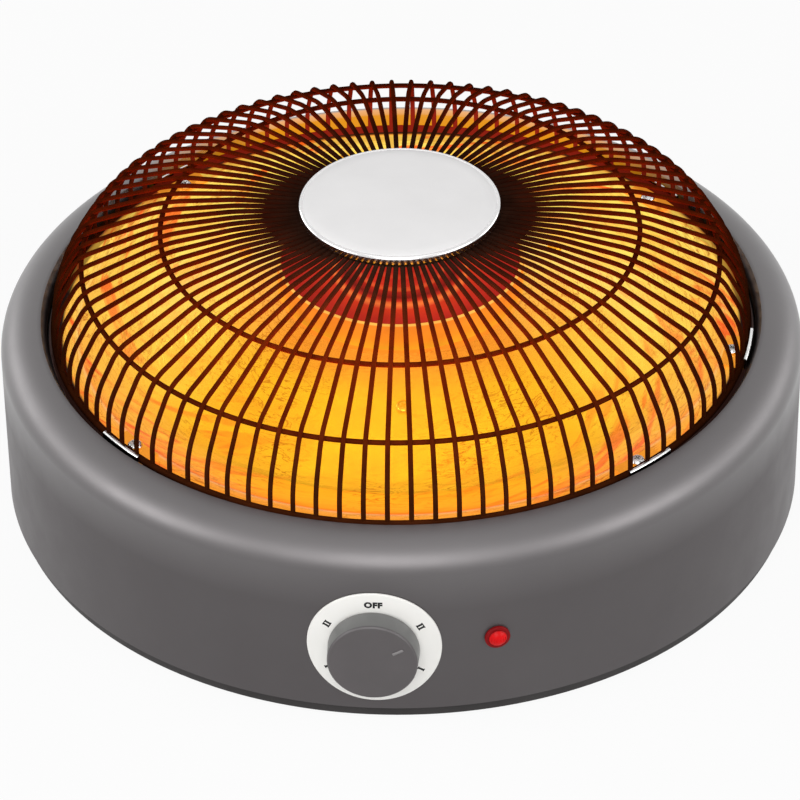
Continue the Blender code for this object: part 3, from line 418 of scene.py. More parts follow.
def make_paint_finish():
    """Stove paint, glossy on the shoulder, with painted shade darkening the inner lip and a
    painted glow of the heat on the lip behind.
    """
    paint = start_finish(
        "stove_paint", (0.092, 0.0842, 0.0862), 0.45, 0.75, Coat_Roughness=0.45,
        Emission_Strength=1.0,
    )
    out = distance_out(paint)
    crest = mask(paint, out, SHOULDER_EDGE - 0.0008, SHOULDER_EDGE + 0.002)
    shoulder = mask(paint, height_up(paint), WALL_TOP - 0.02, WALL_TOP)
    feed(paint, "Coat Weight", times(paint, crest, shoulder))
    # Painted glow: the inner lip behind the guard is given the heat's warm light as emission.
    inward = spread(paint, out, 1, 0, SHOULDER_EDGE + 0.006, SHOULDER_EDGE + 0.01)
    above_ledge = mask(paint, height_up(paint), LEDGE_Z - 0.001, LEDGE_Z)
    behind = mask(paint, azimuth_size(paint), math.radians(128), math.radians(155))
    painted_glow_area = times(paint, inward, above_ledge, behind)
    glow = blend_colours(paint, painted_glow_area, BLACK, (0.78, 0.29, 0.004))
    feed(paint, "Emission Color", glow)
    # Painted shade: the inner lip above the ledge is near black, and so is the base colour under
    # the painted glow.
    lip = spread(paint, out, 1, 0, LIP_RADIUS + 0.0007, LIP_RADIUS + 0.0016)
    painted_shade_area = calculate(paint, "MAXIMUM", painted_glow_area, times(paint, lip, above_ledge))
    shade = drifting(paint, (14, 4), (0.088, 0.08, 0.082), (0.097, 0.089, 0.091))
    feed(paint, "Base Color", blend_colours(paint, painted_shade_area, shade, (0.012, 0.008, 0.007)))
    set_grain(paint, (60, 5, 0.42, 0.49), (260, 3, 0.00002), (2600, 2, 0.000004))


def make_knob_finish():
    """Grey plastic, with painted light making the side paler and a painted highlight on the raised
    pointer.
    """
    face_shade, side_painted_light, pointer_painted_highlight = (
        (0.072, 0.064, 0.066), (0.126, 0.126, 0.123), (0.19, 0.18, 0.18)
    )
    plastic = start_finish("knob_plastic", face_shade, 0.45)
    along = parts_of(plastic, surface_place(plastic))["Y"]
    face = KNOB_BACK + KNOB_DEPTH
    # Painted light: the knob's side is paler than its face.
    side = mask(plastic, along, 0.0009 - face, 0.0016 - face)
    # Painted highlight: the raised pointer is paler still.
    proud = spread(plastic, along, 1, 0, -0.0003 - face, -0.0001 - face)
    colour = blend_colours(plastic, side, face_shade, side_painted_light)
    colour = blend_colours(plastic, proud, colour, pointer_painted_highlight)
    patches = spread(plastic, noise(plastic, 40, 3), 0.93, 1.08)
    feed(plastic, "Base Color", scaled(plastic, colour, patches))
    set_grain(plastic, (200, 3, 0.41, 0.49), (3200, 2, 0.00001))


def make_disc_finish():
    """Satin silver inside the disc's groove, and a polished rim outside it."""
    satin = start_finish("satin_silver", (0.74, 0.73, 0.73), 0.42, 0.12)
    feed(satin, "Base Color", drifting(satin, (45, 3), (0.73, 0.72, 0.72), (0.76, 0.75, 0.75)))
    polished = mask(satin, distance_out(satin), DISC_RADIUS - 0.0019, DISC_RADIUS - 0.0014)
    feed(satin, "Metallic", spread(satin, polished, 0.12, 1.0, 0, 1))
    brushed = spread(satin, noise(satin, 240, 4), 0.38, 0.46)
    feed(satin, "Roughness", times(satin, brushed, spread(satin, polished, 1.0, 0.35, 0, 1)))
    add_bump(satin, noise(satin, 2400, 3), 0.000006)


def make_wire_finish():
    """Oxidised steel, with painted glow light making it redder halfway out and towards the front,
    and a painted faint glow on the low wires behind.
    """
    wire = start_finish(
        "oxidised_wire", (0.03, 0.01, 0.007), 0.6, Specular_IOR_Level=0.0, Emission_Strength=1.0
    )
    along = mask(wire, distance_out(wire), 0.045, 0.17)
    # The wires' own dark oxide at the hub, with painted glow light making them redder halfway out.
    colour_with_painted_glow = ramp(wire, along, (
        (0.0, (0.026, 0.0125, 0.008)),
        (0.24, (0.06, 0.0125, 0.005)),
        (0.45, (0.14, 0.0135, 0.002)),
        (0.68, (0.13, 0.0135, 0.002)),
        (0.88, (0.09, 0.0115, 0.002)),
        (0.98, (0.045, 0.0105, 0.003)),
    ))
    from_front = azimuth_size(wire)
    # Painted light: the wires are brighter towards the front and darker to the sides.
    to_sides = spread(wire, from_front, 1.0, 0.45, 0.35, 1.3)
    patches = times(wire, spread(wire, noise(wire, 90, 4), 0.75, 1.25), to_sides)
    feed(wire, "Base Color", scaled(wire, colour_with_painted_glow, patches))
    # Painted glow: the low wires behind get a faint red emission.
    low = spread(wire, height_up(wire), 1, 0, GUARD_Z + 0.01, GUARD_Z + 0.034)
    behind = mask(wire, from_front, math.radians(120), math.radians(160))
    glow = blend_colours(wire, times(wire, low, behind), BLACK, (0.24, 0.012, 0.006))
    feed(wire, "Emission Color", glow)
    set_grain(wire, (300, 4, 0.46, 0.62), (1200, 3, 0.00003))


def make_clip_finish():
    """Steel with a painted highlight along the hook and painted shade below it, and a painted glow
    of the dish on it inside the ring.
    """
    clip = start_finish("clip_steel", (0.7, 0.7, 0.69), 0.2, 1.0, Emission_Strength=0.6)
    # Painted highlight along the hook's top edge, and painted shade below it.
    upper = mask(clip, height_up(clip), GUARD_Z + 0.0021, GUARD_Z + 0.0025)
    outer = mask(clip, distance_out(clip), BASE_RING_RADIUS - 0.0001, 0.17)
    hook_painted_light_and_shade = blend_colours(clip, upper, (0.05, 0.04, 0.04), (0.78, 0.78, 0.77))
    # Painted reflection and glow of the dish on the clip inside the ring.
    colour = blend_colours(clip, outer, (0.5, 0.18, 0.01), hook_painted_light_and_shade)
    feed(clip, "Emission Color", blend_colours(clip, outer, (1.0, 0.36, 0.03), BLACK))
    patches = spread(clip, noise(clip, 160, 3), 0.85, 1.1)
    feed(clip, "Base Color", scaled(clip, colour, patches))
    set_grain(clip, (500, 4, 0.16, 0.28), (1500, 3, 0.00001))


def make_glow_painted_screw_finish():
    """Steel with a painted reflection of the glowing dish round it, in its colour and emission."""
    glow_screw = start_finish("screw_steel_painted_glow", (0.62, 0.28, 0.02), 0.2, 1.0, Emission_Strength=0.55)
    # Painted reflection: the dish's orange glow is put in the screw's emission and colour.
    feed(glow_screw, "Emission Color", drifting(glow_screw, (160, 3), (0.85, 0.3, 0.012), (1.0, 0.46, 0.02)))
    feed(glow_screw, "Base Color", drifting(glow_screw, (120, 3), (0.5, 0.2, 0.012), (0.62, 0.28, 0.02)))
    set_grain(glow_screw, (500, 4, 0.16, 0.28), (1500, 3, 0.00001))


def dish_base_colour(dish, out):
    """Gold that changes outward, with a painted yellower reflection behind and faint mottling; it
    is also the dish's painted glow.
    """
    base = ramp(dish, mask(dish, out, 0.05, 0.17), (
        (0.0, (1.0, 0.3, 0.03)),
        (0.16, (1.0, 0.34, 0.025)),
        (0.3, (1.0, 0.52, 0.016)),
        (0.58, (1.0, 0.53, 0.016)),
        (0.72, (1.0, 0.49, 0.02)),
        (0.84, (1.0, 0.43, 0.025)),
        (0.88, (1.0, 0.3, 0.02)),
        (0.888, (0.95, 0.16, 0.015)),
        (0.896, (1.0, 0.52, 0.2)),
        (0.905, (1.0, 0.4, 0.06)),
        (0.93, (1.0, 0.38, 0.03)),
        (0.975, (0.9, 0.26, 0.02)),
        # The last stop is painted shade behind the base ring.
        (0.99, (0.06, 0.02, 0.01)),
    ))
    inside = spread(dish, out, 1, 0, BASE_RING_RADIUS - 0.0022, BASE_RING_RADIUS)
    # Painted reflection: the dish turns yellower towards the rear.
    to_rear = spread(dish, azimuth_size(dish), 0, 0.9, 0.8, 2.2)
    base = blend_colours(dish, times(dish, to_rear, inside), base, (1.0, 0.8, 0.13))
    mottle = times(dish, spread(dish, noise(dish, 55, 4), 0.0, 0.4), inside)
    return blend_colours(dish, mottle, base, (1.0, 0.32, 0.02))


def dish_patch_share(dish, out, turn):
    """Where slanted orange patches of painted glow lie: outward, and more of them away from the
    front.
    """
    slanted = calculate(dish, "ADD", times(dish, turn, 6.0), times(dish, out, 90.0))
    patch_place = joined(dish, slanted, times(dish, out, 55.0))
    patches = mask(dish, noise(dish, 1.0, 4, patch_place, 0.8), 0.52, 0.64)
    outward = spread(dish, out, 0.1, 0.95, 0.095, 0.156)
    from_front = spread(dish, azimuth_size(dish), 0.25, 1, 0.15, 0.75)
    return times(dish, patches, outward, from_front)


def dish_painted_shade_share(dish, out):
    """Where the dish has painted shade: at its rim, and a painted shadow under the base ring on
    the front's side.
    """
    under_ring = mask(dish, out, BASE_RING_RADIUS - 0.0046, BASE_RING_RADIUS - 0.0034)
    ahead = spread(dish, azimuth_size(dish), 1, 0, math.radians(95), math.radians(120))
    rim = mask(dish, out, BASE_RING_RADIUS + 0.0004, BASE_RING_RADIUS + 0.0012)
    return calculate(dish, "MAXIMUM", rim, times(dish, under_ring, ahead))


def make_dish_finish():
    """Gold-coloured metal whose colour is also its painted glow of the heat, with spun ripples,
    dark strokes of painted reflection, orange patches of painted glow and painted shade at the
    rim.
    """
    dish = start_finish("reflector_painted_glow", (0.5, 0.2, 0.005), 0.18, 1.0, Emission_Strength=0.72)
    out = distance_out(dish)
    turn = azimuth_round(dish)
    colour = dish_base_colour(dish, out)
    # Orange patches of painted glow.
    colour = blend_colours(dish, dish_patch_share(dish, out, turn), colour, (0.95, 0.12, 0.014))

    # Dark strokes of painted reflection along the spun ripples.
    streak_place = joined(dish, times(dish, turn, 8.0), times(dish, out, 260.0))
    streaks = noise(dish, 1.0, 3, streak_place, 1.2)
    off_middle = calculate(dish, "ABSOLUTE", calculate(dish, "SUBTRACT", streaks, 0.52))
    strokes = times(
        dish, spread(dish, off_middle, 0.8, 0.0, 0.0, 0.03),
        mask(dish, noise(dish, 24, 2), 0.4, 0.6),
    )
    colour = blend_colours(dish, strokes, colour, (0.5, 0.12, 0.006))
    # Painted shade at the rim, and a painted shadow under the base ring.
    colour = blend_colours(dish, dish_painted_shade_share(dish, out), colour, (0.02, 0.008, 0.006))
    looks = parts_of(dish, add_node(dish, "ShaderNodeTexCoord").outputs["Normal"])
    upper_face = mask(dish, looks["Z"], -0.02, 0.06)
    # Painted glow: the dish's colour is its emission on the upper faces, and half of it is its
    # base colour.
    feed(dish, "Emission Color", scaled(dish, colour, upper_face))
    feed(dish, "Base Color", scaled(dish, colour, 0.5))
    set_grain(dish, (70, 4, 0.15, 0.24))
    add_bump(dish, streaks, 0.0003)
    add_bump(dish, noise(dish, 40, 3), 0.0002)


def make_pan_finish():
    """Red-hot steel: bright tier edges and rim, and a skirt that is hottest at its foot."""
    pan = start_finish(
        "glowing_pan", (0.05, 0.01, 0.006), 0.6, Specular_IOR_Level=0.1, Emission_Strength=1.0
    )
    out = distance_out(pan)
    skirt = ramp(pan, mask(pan, height_up(pan), PAN_SKIRT_Z, PAN_RIM_Z), (
        (0.0, (0.9, 0.36, 0.012)),
        (0.35, (0.95, 0.27, 0.012)),
        (0.93, (0.95, 0.24, 0.016)),
        (0.97, (1.0, 0.5, 0.08)),
    ))
    tiers = ramp(pan, mask(pan, out, 0, PAN_RADIUS), (
        (0.0, (0.36, 0.012, 0.006)),
        (0.19, (0.45, 0.016, 0.007)),
        (0.215, (0.56, 0.035, 0.01)),
        (0.24, (0.5, 0.018, 0.009)),
        (0.33, (0.55, 0.025, 0.01)),
        (0.35, (0.7, 0.075, 0.015)),
        (0.37, (0.42, 0.016, 0.008)),
        (0.45, (0.2, 0.008, 0.005)),
        (0.5, (0.55, 0.025, 0.01)),
        (0.535, (0.88, 0.17, 0.03)),
        (0.56, (0.6, 0.035, 0.01)),
        (0.7, (0.5, 0.022, 0.011)),
        (0.9, (0.36, 0.014, 0.009)),
        (0.965, (0.36, 0.014, 0.009)),
        (0.98, (1.0, 0.5, 0.08)),
    ))
    outside = mask(pan, out, PAN_RADIUS - 0.0003, PAN_RADIUS - 0.0001)
    cool = spread(pan, noise(pan, 55, 4), 0.8, 1.15)
    feed(pan, "Emission Color", scaled(pan, blend_colours(pan, outside, tiers, skirt), cool))
    feed(pan, "Base Color", drifting(pan, (70, 4), (0.04, 0.008, 0.005), (0.06, 0.012, 0.006)))
    set_grain(pan, (200, 4, 0.5, 0.68), (500, 4, 0.00006))


def make_lens_finish():
    """Clear red plastic, brighter over its lit dome than on its collar."""
    lens = start_finish(
        "lamp_lens", (0.42, 0.004, 0.005), 0.3, Specular_IOR_Level=0.1, Emission_Strength=0.2
    )
    dome = mask(lens, distance_out(lens), BODY_RADIUS + 0.0017, BODY_RADIUS + 0.0024)
    glow = blend_colours(lens, dome, (0.12, 0.001, 0.002), (1.0, 0.008, 0.01))
    feed(lens, "Emission Color", glow)
    shade = spread(lens, noise(lens, 300, 3), 0.85, 1.1)
    colour = blend_colours(lens, dome, (0.17, 0.003, 0.004), (0.42, 0.004, 0.005))
    feed(lens, "Base Color", scaled(lens, colour, shade))
    set_grain(lens, (600, 3, 0.26, 0.36), (900, 2, 0.00002))


# Shapes

def round_corner(shape, corner, rounding):
    """Rounds one corner of a line by a radius."""
    first, second = [edge.other_vert(corner).co - corner.co for edge in corner.link_edges]
    setback = rounding / math.tan(first.angle(second) / 2)
    bmesh.ops.bevel(
        shape, geom=[corner], offset=setback, offset_type="OFFSET", segments=CORNER_STEPS,
        profile=0.5, affect="VERTICES", material=-1,
    )


def line_shape(corners, closed=False):
    """A line in the XZ plane through corners of radius, height and rounding."""
    shape = bmesh.new()
    places = [shape.verts.new((radius, 0, height)) for radius, height, _ in corners]
    for first, second in zip(places, places[1:]):
        shape.edges.new((first, second))
    if closed:
        shape.edges.new((places[-1], places[0]))
    for place, (_, _, rounding) in zip(places, corners):
        if rounding:
            round_corner(shape, place, rounding)
    return shape


def weld(shape):
    bmesh.ops.remove_doubles(shape, verts=shape.verts, dist=WELD)
    bmesh.ops.recalc_face_normals(shape, faces=shape.faces)


def spin_shape(shape, steps, angle=math.tau):
    full = abs(angle - math.tau) < WELD
    bmesh.ops.spin(
        shape, geom=shape.verts[:] + shape.edges[:], cent=(0, 0, 0), axis=(0, 0, 1),
        angle=angle, steps=steps, use_merge=full, use_duplicate=False,
    )
    weld(shape)


def turned(corners, steps=SMALL_STEPS):
    """A closed solid of revolution from its whole outline, or from axis to axis."""
    open_ends = corners[0][0] == 0 and corners[-1][0] == 0
    shape = line_shape(corners, closed=not open_ends)
    spin_shape(shape, steps)
    return shape


def turned_sheet(corners, sheet, steps, shows, angle=math.tau):
    """A pressed sheet, whose corners follow the face that looks along shows."""
    shape = line_shape(corners)
    spin_shape(shape, steps, angle)
    looks = sum((face.normal * face.calc_area() for face in shape.faces), Vector())
    if looks.dot(Vector(shows)) < 0:
        bmesh.ops.reverse_faces(shape, faces=shape.faces)
    thing = stand_in(shape)
    wall = thing.modifiers.new("wall", "SOLIDIFY")
    wall.thickness = sheet
    wall.offset = -1
    wall.use_even_offset = True
    return taken_back(thing)


def mesh_of(name, shape):
    """Puts a shape in a new mesh, and the shape goes."""
    mesh = bpy.data.meshes.new(name)
    shape.normal_update()
    shape.to_mesh(mesh)
    shape.free()
    return mesh


def add_object(name, data):
    thing = bpy.data.objects.new(name, data)
    bpy.context.scene.collection.objects.link(thing)
    return thing


def stand_in(shape):
    """A passing object that holds a shape while modifiers work on it."""
    return add_object("stand_in", mesh_of("stand_in", shape))


def taken_back(thing):
    """The shape of a passing object after its modifiers, which then goes."""
    bpy.context.view_layer.update()
    ready = thing.evaluated_get(bpy.context.evaluated_depsgraph_get())
    mesh = bpy.data.meshes.new_from_object(ready)
    shape = bmesh.new()
    shape.from_mesh(mesh)
    bpy.data.meshes.remove(mesh)
    bpy.data.objects.remove(thing, do_unlink=True)
    return shape


def carved(shape, tools, operation="DIFFERENCE"):
    """Cuts a shape with others, or keeps what it shares with them, by Boolean steps."""
    thing = stand_in(shape)
    helpers = [stand_in(tool) for tool in tools]
    for helper in helpers:
        step = thing.modifiers.new("step", "BOOLEAN")
        step.operation = operation
        step.solver = "EXACT"
        step.object = helper
    result = taken_back(thing)
    for helper in helpers:
        bpy.data.objects.remove(helper, do_unlink=True)
    return result


def soften(shape, edges, rounding):
    bmesh.ops.bevel(
        shape, geom=edges, offset=rounding, offset_type="OFFSET", segments=3, profile=0.5,
        affect="EDGES", material=-1,
    )


def block(size, centre=(0, 0, 0), rounding=0.0):
    shape = bmesh.new()
    bmesh.ops.create_cube(shape, size=1)
    bmesh.ops.scale(shape, vec=size, verts=shape.verts)
    bmesh.ops.translate(shape, vec=centre, verts=shape.verts)
    if rounding:
        soften(shape, shape.edges[:], rounding)
    return shape


def thicken(plate, depth):
    """Makes a flat plate a solid, whose top is higher by the depth."""
    grown = bmesh.ops.extrude_face_region(plate, geom=plate.faces[:])
    top = [item for item in grown["geom"] if isinstance(item, bmesh.types.BMVert)]
    bmesh.ops.translate(plate, vec=(0, 0, depth), verts=top)
    bmesh.ops.recalc_face_normals(plate, faces=plate.faces)


def rod(radius, bottom, top, steps=SMALL_STEPS):
    return turned([(0, top, 0), (radius, top, 0), (radius, bottom, 0), (0, bottom, 0)], steps)


def moved(shape, place):
    bmesh.ops.transform(shape, matrix=place, verts=shape.verts)
    return shape


def gathered(shapes):
    """One shape that holds several, each left as it is."""
    whole = bmesh.new()
    for shape in shapes:
        mesh = mesh_of("gathered", shape)
        whole.from_mesh(mesh)
        bpy.data.meshes.remove(mesh)
    return whole


def show(name, shape, finish, nodes=(), place=None, body="housing"):
    """Makes a finished piece of a shape, in the place of its CAD nodes."""
    if place:
        moved(shape, place)
    mesh = mesh_of(name, shape)
    mesh.materials.append(finishes[finish])
    mesh.shade_smooth()
    mesh.set_sharp_from_angle(angle=SHARP)
    piece = add_object(name, mesh)
    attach(piece, body)
    if nodes:
        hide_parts(*nodes)


def show_each(name, shape, finish, node, places):
    """Numbered copies of one shape, each in the place of its own CAD node."""
    for number, place in enumerate(places, 1):
        show(f"{name}_{number}", shape.copy(), finish, [f"{node}_{number}"], place)
    shape.free()


def ring_shape(radius, height, wire, sides=10):
    """A closed ring of round wire."""
    shape = bmesh.new()
    bmesh.ops.create_circle(shape, segments=sides, radius=wire)
    turn = Matrix.Rotation(math.pi / 2, 4, "X")
    moved(shape, Matrix.Translation((radius, 0, height)) @ turn)
    spin_shape(shape, WIRE_COUNT * 2)
    return shape


def line_points(shape):
    """The points of an open line in their order, and the line goes."""
    ends = [vert for vert in shape.verts if len(vert.link_edges) == 1]
    start = max(ends, key=lambda vert: vert.co.x)
    points, last, here = [start.co.copy()], None, start
    while True:
        ahead = [edge for edge in here.link_edges if edge is not last]
        if not ahead:
            break
        last = ahead[0]
        here = last.other_vert(here)
        points.append(here.co.copy())
    shape.free()
    return points


def wire_along(points, radius, resolution):
    """A round wire through the points, with closed ends."""
    curve = bpy.data.curves.new("wire_line", "CURVE")
    curve.dimensions = "3D"
    curve.bevel_depth = radius
    curve.bevel_resolution = resolution
    curve.use_fill_caps = True
    spline = curve.splines.new("POLY")
    spline.points.add(len(points) - 1)
    for point, place in zip(spline.points, points):
        point.co = (*place, 1)
    shape = taken_back(add_object("wire_line", curve))
    weld(shape)
    return shape


def screw_shape(length):
    """A pan-head screw with a cross recess that narrows, its seat at height zero."""
    head_radius, head_height, shank = 0.0036, 0.0018, 0.0019
    corners = [
        (0, head_height, 0),
        (head_radius * 0.72, head_height, head_height * 0.9),
        (head_radius, head_height * 0.35, 0.0002),
        (head_radius, 0, 0.0001),
        (shank, 0, 0),
        (shank, shank - length, 0),
        (0, -length, 0),
    ]
    shape = turned(corners, 28)
    reach, width, depth = head_radius * 1.15, head_radius * 0.26, head_height * 0.75
    arms = []
    for size in ((reach, width, depth * 2), (width, reach, depth * 2)):
        arm = block(size, (0, 0, head_height))
        low = [vert for vert in arm.verts if vert.co.z < head_height]
        bmesh.ops.scale(arm, vec=(0.55, 0.55, 1), verts=low)
        arms.append(arm)
    return carved(shape, arms)


def nut_shape(radius, bore, bottom, top):
    """A hexagon nut with rounded-off corners and a bore."""
    height = top - bottom
    flat = radius * math.cos(math.pi / 6)
    blank = bmesh.new()
    bmesh.ops.create_cone(
        blank, cap_ends=True, segments=6, radius1=radius, radius2=radius, depth=height
    )
    bmesh.ops.translate(blank, vec=(0, 0, (top + bottom) / 2), verts=blank.verts)
    slope = (radius - flat) * 0.6
    turned_blank = turned([
        (bore, top, 0),
        (flat, top, 0),
        (radius, top - slope, 0),
        (radius, bottom + slope, 0),
        (flat, bottom, 0),
        (bore, bottom, 0),
    ], 48)
    return carved(blank, [turned_blank], "INTERSECT")


# Housing

def make_shell():
    corners = [
        (LEDGE_RADIUS, LEDGE_Z, 0),
        (LIP_RADIUS, LEDGE_Z, 0.0009),
        (LIP_RADIUS, LIP_TOP, 0.0008),
    ]
    shoulder_steps = 14
    for k in range(shoulder_steps + 1):
        turn = math.pi / 2 * (1 - k / shoulder_steps)
        corners.append((
            SHOULDER_EDGE + (BODY_RADIUS - SHOULDER_EDGE) * math.cos(turn),
            WALL_TOP + (SHOULDER_TOP - WALL_TOP) * math.sin(turn),
            0,
        ))
    corners.append((BODY_RADIUS, BODY_BOTTOM, 0))
    shell = turned_sheet(corners, SHEET, ROUND_STEPS, (0, 0, 1))
    holes = (
        (0.0, SWITCH_HOLE, SWITCH_RISE),
        (LAMP_AZIMUTH, LAMP_HOLE, LAMP_RISE),
        (math.pi, GLAND_HOLE, GLAND_RISE),
    )
    drills = []
    for azimuth, radius, height in holes:
        drill = rod(radius, -0.004, 0.004)
        drills.append(moved(drill, facing_out(azimuth, BODY_RADIUS, height)))
    shell = carved(shell, drills)
    tabs = []
    for azimuth in quarter_azimuths(BASE_SCREW_AZIMUTH):
        tab = block(TAB_SIZE, (0, -BODY_RADIUS + SHEET + 0.0067, RIM_TOP + 0.0009))
        drill = moved(rod(TAB_HOLE, 0.01, 0.02), upright(0, BASE_SCREW_PLACE))
        tabs.append(moved(carved(tab, [drill]), upright(azimuth)))
    show("painted_shell", gathered([shell] + tabs), "stove_paint", ["body_shell"])


def slot_shape():
    """A tool with round ends, tall enough to cut through the tray."""
    depth, segments = 0.008, 20
    shape = bmesh.new()
    bmesh.ops.create_circle(shape, cap_ends=True, segments=segments, radius=SLOT_WIDTH / 2)
    turn = Matrix.Rotation(math.pi / segments, 4, "Z")
    moved(shape, Matrix.Translation((0, 0, -depth / 2)) @ turn)
    for vert in shape.verts:
        vert.co.y += math.copysign((SLOT_LENGTH - SLOT_WIDTH) / 2, vert.co.y)
    thicken(shape, depth)
    return shape


def make_tray():
    corners = [
        (RIM_RADIUS, RIM_TOP, 0),
        (RIM_RADIUS, RIM_Z, 0.0013),
        (RIM_RADIUS - RIM_WIDTH, RIM_Z, 0.0008),
        (RIM_RADIUS - RIM_WIDTH, PLATE_Z, 0.0006),
        (0, PLATE_Z, 0),
    ]
    tray = turned_sheet(corners, SHEET, ROUND_STEPS, (0, 0, -1))
    moved(tray, Matrix.Rotation(math.pi / ROUND_STEPS, 4, "Z"))
    tools = []
    for k in range(SLOT_COUNT):
        azimuth = math.tau * (k + 0.5) / SLOT_COUNT
        tools.append(moved(slot_shape(), upright(azimuth, SLOT_PLACE, PLATE_Z)))
    for azimuth in quarter_azimuths(FOOT_AZIMUTH):
        hole = rod(FOOT_HOLE, -0.004, 0.004, 20)
        tools.append(moved(hole, upright(azimuth, FOOT_PLACE, PLATE_Z)))
    show("vented_tray", carved(tray, tools), "black_enamel", ["base_plate"])


def make_feet():
    """Hollow rubber feet, each with a barb above the tray that holds it."""
    top = PLATE_Z - SEAT_GAP
    stem_bottom = PLATE_Z + SHEET + SEAT_GAP
    corners = [
        (0, stem_bottom + 0.0026, 0),
        (0.0026, stem_bottom + 0.0026, 0.0004),
        (0.0042, stem_bottom, 0.0002),
        (0.0032, stem_bottom, 0),
        (0.0032, top, 0),
        (0.009, top, 0.0004),
        (0.0088, 0, 0.0007),
        (0.0062, 0, 0.0002),
        (0.0058, 0.0004, 0.0002),
        (0.0034, 0.0004, 0.0002),
        (0.003, 0, 0.0002),
        (0, 0, 0),
    ]
    places = [upright(azimuth, FOOT_PLACE) for azimuth in quarter_azimuths(FOOT_AZIMUTH)]
    show_each("rubber_foot", turned(corners), "foot_rubber", "foot", places)


def make_screws():
    head_down = Matrix.Rotation(math.pi, 4, "X")
    places = [
        upright(azimuth, BASE_SCREW_PLACE, PLATE_Z - SEAT_GAP) @ head_down
        for azimuth in quarter_azimuths(BASE_SCREW_AZIMUTH)
    ]
    screw = screw_shape(BASE_SCREW_LENGTH)
    show_each("tray_screw", screw, "bright_screw_steel", "base_screw", places)
    places = [
        dish_screw_frame(DISH_SCREW_AZIMUTH + math.tau * k / 3) @ Matrix.Rotation(0.5, 4, "Z")
        for k in range(3)
    ]
    screw = screw_shape(DISH_SCREW_LENGTH)
    show_each("reflector_screw", screw, "screw_steel_painted_glow", "dish_screw", places)
    places = [
        upright(azimuth, CLIP_SCREW_PLACE, CLIP_FOOT_Z + SEAT_GAP)
        @ Matrix.Rotation(0.4 + k, 4, "Z")
        for k, azimuth in enumerate(CLIP_AZIMUTHS)
    ]
    screw = screw_shape(CLIP_SCREW_LENGTH)
    show_each("ring_clip_screw", screw, "bright_screw_steel", "clip_screw", places)


# Reflector and heat source

def make_reflector():
    """From the collar down a cone to the valley, and up a curved wall to the flange."""
    corners = [
        (COLLAR_BORE, COLLAR_Z, 0),
        (COLLAR_RADIUS, COLLAR_Z, 0.003),
        (CONE_FOOT_RADIUS, COLLAR_Z - CONE_DROP, 0.03),
        (VALLEY_RADIUS - VALLEY_REACH, VALLEY_Z + 0.0012, 0.02),
        (VALLEY_RADIUS, VALLEY_Z, 0.012),
        (VALLEY_RADIUS + VALLEY_REACH, VALLEY_Z + 0.0017, 0.02),
        (DISH_WALL_TOP, FLANGE_Z, 0.004),
        (FLANGE_RADIUS, FLANGE_Z, 0),
    ]
    dish = turned_sheet(corners, DISH_SHEET, ROUND_STEPS, (0, 0, 1))
    show("glowing_reflector", dish, "reflector_painted_glow", ["reflector_dish"])


def make_pan():
    """A stepped middle, a trough, a sloping band to the rim, and a skirt below it."""
    corners = [(STUD_HOLE, PAN_TIERS[0][1], 0)]
    for (radius, top), (_, below) in zip(PAN_TIERS, PAN_TIERS[1:]):
        corners += [(radius, top, 0.0006), (radius + PAN_STEP, below, 0.0005)]
    corners.append((*PAN_TIERS[-1], 0.0006))
    wall = PAN_RADIUS - SHEET
    corners += [
        (PAN_TROUGH_RADII[0], PAN_FLOOR_Z, 0.001),
        (PAN_TROUGH_RADII[1], PAN_FLOOR_Z, 0.001),
        (wall, PAN_RIM_Z, 0.0003),
        (PAN_RADIUS, PAN_RIM_Z, 0.0004),
        (PAN_RADIUS, PAN_SKIRT_Z, 0),
        (wall, PAN_SKIRT_Z, 0),
        (wall, PAN_RIM_Z - SHEET * 2, 0),
        (PAN_TROUGH_RADII[1], PAN_FLOOR_Z - SHEET, 0),
        (PAN_TIERS[1][0], PAN_FLOOR_Z - SHEET, 0),
        (STUD_HOLE, PAN_TIERS[1][1] - SHEET, 0),
    ]
    show("stepped_pan", turned(corners, MIDDLE_STEPS), "glowing_pan", ["radiant_pan"])
    seat = PAN_TIERS[0][1] + SEAT_GAP
    show("pan_top_nut", nut_shape(NUT_RADIUS, STUD_HOLE, seat, seat + NUT_HEIGHT),
         "glowing_pan", ["pan_nut"])


# Guard

def guard_wire():
    """The first of the radial wires, from the base ring up and over to the hub."""
    corners = [
        (WIRE_FOOT_RADIUS, GUARD_Z, 0),
        (WIRE_FOOT_RADIUS - 0.0005, GUARD_Z + 0.016, 0.03),
        (*WIRE_BEND, 0.016),
        (UPPER_RING[0], WIRE_CREST_Z, 0.06),
        (0.08, 0.1532, 0.08),
        (*WIRE_END, 0),
    ]
    points = line_points(line_shape(corners))
    wire = wire_along(points, WIRE_RADIUS, 2)
    return moved(wire, Matrix.Rotation(WIRE_TURN - math.pi / 2, 4, "Z"))


def make_guard():
    wires = guard_wire()
    step = math.tau / WIRE_COUNT
    bmesh.ops.spin(
        wires, geom=wires.verts[:] + wires.edges[:] + wires.faces[:], cent=(0, 0, 0),
        axis=(0, 0, 1), angle=step * (WIRE_COUNT - 1), steps=WIRE_COUNT - 1, use_duplicate=True,
    )
    base_ring = ring_shape(BASE_RING_RADIUS, GUARD_Z, BASE_RING_WIRE, 14)
    show("wire_guard", gathered([wires, base_ring]), "oxidised_wire", ["guard"])
    for name, node, place in (
        ("lower_wire_ring", "guard_ring_lower", LOWER_RING),
        ("upper_wire_ring", "guard_ring_upper", UPPER_RING),
    ):
        show(name, ring_shape(*place, RING_WIRE), "oxidised_wire", [node])


